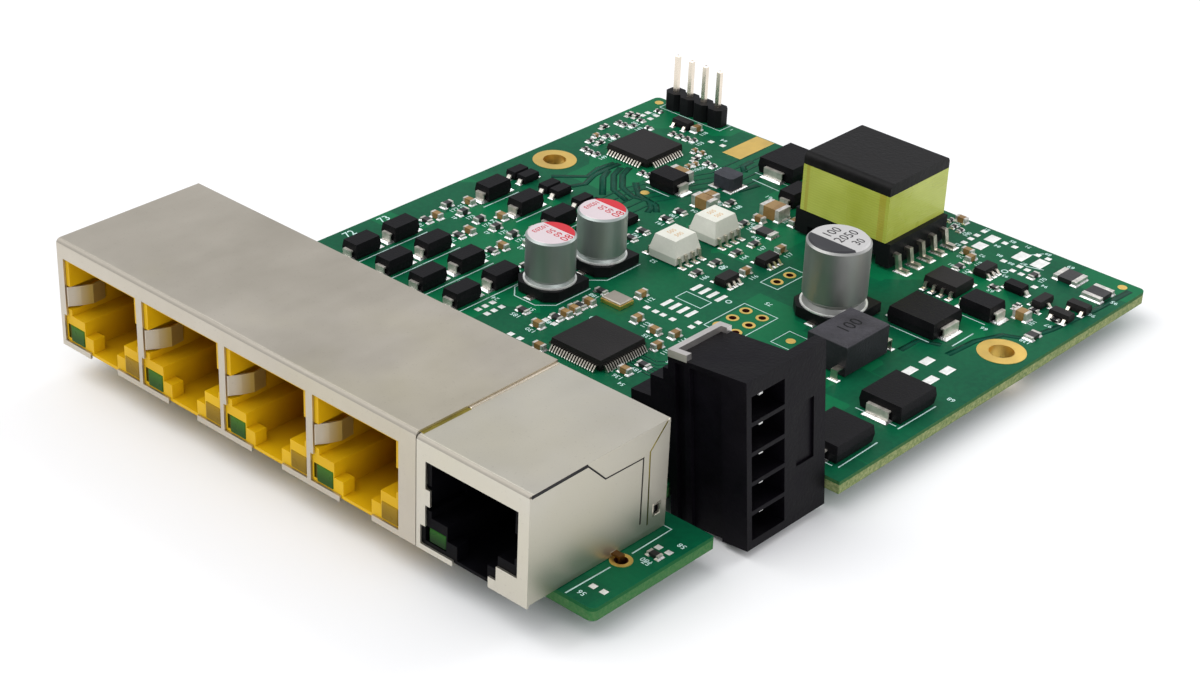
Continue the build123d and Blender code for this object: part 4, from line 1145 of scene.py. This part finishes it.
lettering("coupler_numbers", couplerWords, "paleInk", 3.306)
print("plain numbers printed")


# copper tracks that show through the mask
trackLook = {
    "width": 0.30,
    "wideWidth": 0.95,
    "level": 0.002,
    "firstJackLine": -38.5,
    "jackLinePitch": 1.1,
}
tracks = []
for port in range(5):
    for line in range(4):
        x = trackLook["firstJackLine"] + jack["portPitch"] * port + trackLook["jackLinePitch"] * line
        tracks.append([(x, -56.4), (x, -48.0 - line), (x + 3.0, -45.0 - line), (x + 3.0, -41.6 + 0.3 * line)])
for line in range(7):  # behind the port diodes
    y = -42.4 - 0.55 * line
    tracks.append([(-30.0 + line, y), (-8.0 - line * 0.4, y), (-3.2 + 0.3 * line, y + 3.2)])
for line in range(6):  # from the switch chip to the right
    x = 9.2 + 0.6 * line
    y = -31.4 - 0.6 * line
    tracks.append([(6.9, y), (x, y), (x + 3.0, -28.4), (x + 3.0, -22.0 - line)])
for line in range(5):  # towards the transformer
    x = -24.0 + 1.4 * line
    tracks.append([(x, -5.0), (x, 0.6), (x + 5.0, 12.4), (x + 5.0, 24.0)])
strokes("mask_tracks", tracks, trackLook["width"], trackLook["level"], "traces")
wideTracks = [
    [(-33.1, -4.1), (-29.7, -0.6), (-30.4, 2.4), (-30.0, 5.2)],
    [(-29.2, -4.4), (-28.4, -2.5), (-29.4, 0.3), (-29.5, 2.6), (-29.4, 5.5)],
    [(-29.1, 2.9), (-28.1, 0.7), (-24.6, -3.3)],
    [(-28.5, 4.8), (-27.6, 2.3), (-24.6, -1.1), (-21.1, -2.3)],
    [(-27.7, 5.6), (-26.8, 3.2), (-24.3, 0.3), (-21.6, -0.7), (-19.2, -0.2), (-17.7, -1.4), (-17.1, -2.9)],
    [(-24.1, 2.7), (-21.3, 0.2), (-17.8, -0.4), (-16.3, -2.0)],
    [(-14.2, 11.0), (-12.8, 10.9), (-12.2, 14.2)],
    [(-16.0, 15.8), (-17.4, 17.1), (-17.5, 19.3)],
    [(32.2, -5.3), (32.6, -0.2), (34.1, 3.5), (36.6, 4.8), (37.5, 8.9), (38.5, 17.1), (38.9, 24.5)],
    [(27.6, -8.5), (27.7, -4.9), (30.3, -3.9)],
    [(20.6, 6.0), (20.6, 3.0), (22.4, 1.2)],
    [(22.0, 7.0), (22.0, 3.6), (23.4, 2.2)],
]
strokes("wide_tracks", wideTracks, trackLook["wideWidth"], trackLook["level"], "traces")
print("tracks laid")

# underside: the jacks' signal tails, their solder, and the other soldered pins
under = {
    "board": -1.6,
    "tailEnd": -2.9,
    "tailSize": 0.5,
    "tailPitch": 2.54,
    "rows": (-66.3, -63.76),
    "pinHeader": (-36.21, 25.0),
    "terminalHeader": (26.9, -46.0),
    "terminalPitch": 1.1,
}
tails = []
for centre in portCentres + [jack["singlePort"]]:
    for row, y in enumerate(under["rows"]):
        first = centre - under["tailPitch"] * (1.75 - row / 2)
        tails += [(first + under["tailPitch"] * index, y) for index in range(4)]
tailRows = [(x, y, under["tailSize"], under["tailSize"]) for x, y in tails]
plates("jack_tails", tailRows, under["tailEnd"], under["board"], "tin", 0.05)


def solderCones(name, rows, radius, height):
    clearSelection()
    for count, (x, y) in enumerate(rows):
        bpy.ops.mesh.primitive_cone_add(
            vertices=14,
            radius1=radius * 0.45 * mm,
            radius2=radius * mm,
            depth=height * mm,
            location=(x * mm, y * mm, (under["board"] - height / 2) * mm),
        )
        if count == 0:
            piece = startPiece()
    bevelAll(radius * 0.14, 2)
    return finishPiece(piece, name, "solder")


x, y = under["pinHeader"]
headerTails = [(x + under["tailPitch"] * index, y) for index in range(4)]
x, y = under["terminalHeader"]
terminalTails = [(x - under["terminalPitch"] * pole, y) for pole in range(5)]
legs = [(16.475, -69.5), (16.475, -60.1), (16.825, -64.85)]
solderCones("tail_solder", tails + headerTails, 0.8, 0.7)
solderCones("header_pin_solder", terminalTails, 0.52, 0.6)
solderCones("leg_solder", legs, 1.1, 0.5)
print("underside soldered")


# camera, floor and light
view = {
    "place": (169.794, -227.392, 145.458),
    "azimuth": 40.84,
    "elevation": 29.40,
    "roll": 0.045,
    "lens": 75.11,
}
azimuth = math.radians(view["azimuth"])
elevation = math.radians(view["elevation"])
forward = Vector(
    (-math.sin(azimuth) * math.cos(elevation), math.cos(azimuth) * math.cos(elevation), -math.sin(elevation))
)
right = Vector((math.cos(azimuth), math.sin(azimuth), 0))
up = right.cross(forward)
rolledRight = right * math.cos(view["roll"]) + up * math.sin(view["roll"])
rolledUp = up * math.cos(view["roll"]) - right * math.sin(view["roll"])
pose = Matrix((rolledRight, rolledUp, -forward)).transposed().to_4x4()
pose.translation = Vector(view["place"]) * mm
clearSelection()
bpy.ops.object.camera_add()
camera = bpy.context.object
camera.name = "camera"
camera.matrix_world = pose
camera.data.lens = view["lens"]
camera.data.sensor_width = 36.0
camera.data.clip_start = 0.01
camera.data.clip_end = 20.0
bpy.context.scene.camera = camera

clearSelection()
bpy.ops.mesh.primitive_plane_add(size=6.0, location=(0, 0, cadBox[0].z - 0.02 * mm))
floor = bpy.context.object
floor.name = "floor"
floorLook = Finish("paleFloor", Roughness=0.9)
floorCloud = floorLook.spread(floorLook.noise(3.0, 2.0), 0.0, 1.0)
floorLook.feed(Base_Color=floorLook.mix(floorCloud, (0.86, 0.86, 0.86), (0.90, 0.90, 0.90)))
floor.data.materials.append(floorLook.material)

lamps = {
    "key": ((-0.35, -0.35, 0.75), 0.85, 4.8),
    "fill": ((0.75, -0.30, 0.35), 0.60, 2.4),
    "back": ((0.10, 0.80, 0.60), 0.70, 3.0),
}
for name, (place, size, power) in lamps.items():
    lampData = bpy.data.lights.new(name, "AREA")
    lampData.size = size
    lampData.energy = power
    lamp = bpy.data.objects.new(name, lampData)
    bpy.context.collection.objects.link(lamp)
    lamp.location = place
    lamp.rotation_euler = (Vector((0, -0.02, 0)) - Vector(place)).to_track_quat("-Z", "Y").to_euler()

world = bpy.data.worlds.new("studio")
bpy.context.scene.world = world
world.use_nodes = True
world.node_tree.nodes["Background"].inputs[0].default_value = (0.95, 0.96, 1.0, 1)
world.node_tree.nodes["Background"].inputs[1].default_value = 0.66
bpy.context.scene.view_settings.view_transform = "Standard"
print("stage set")
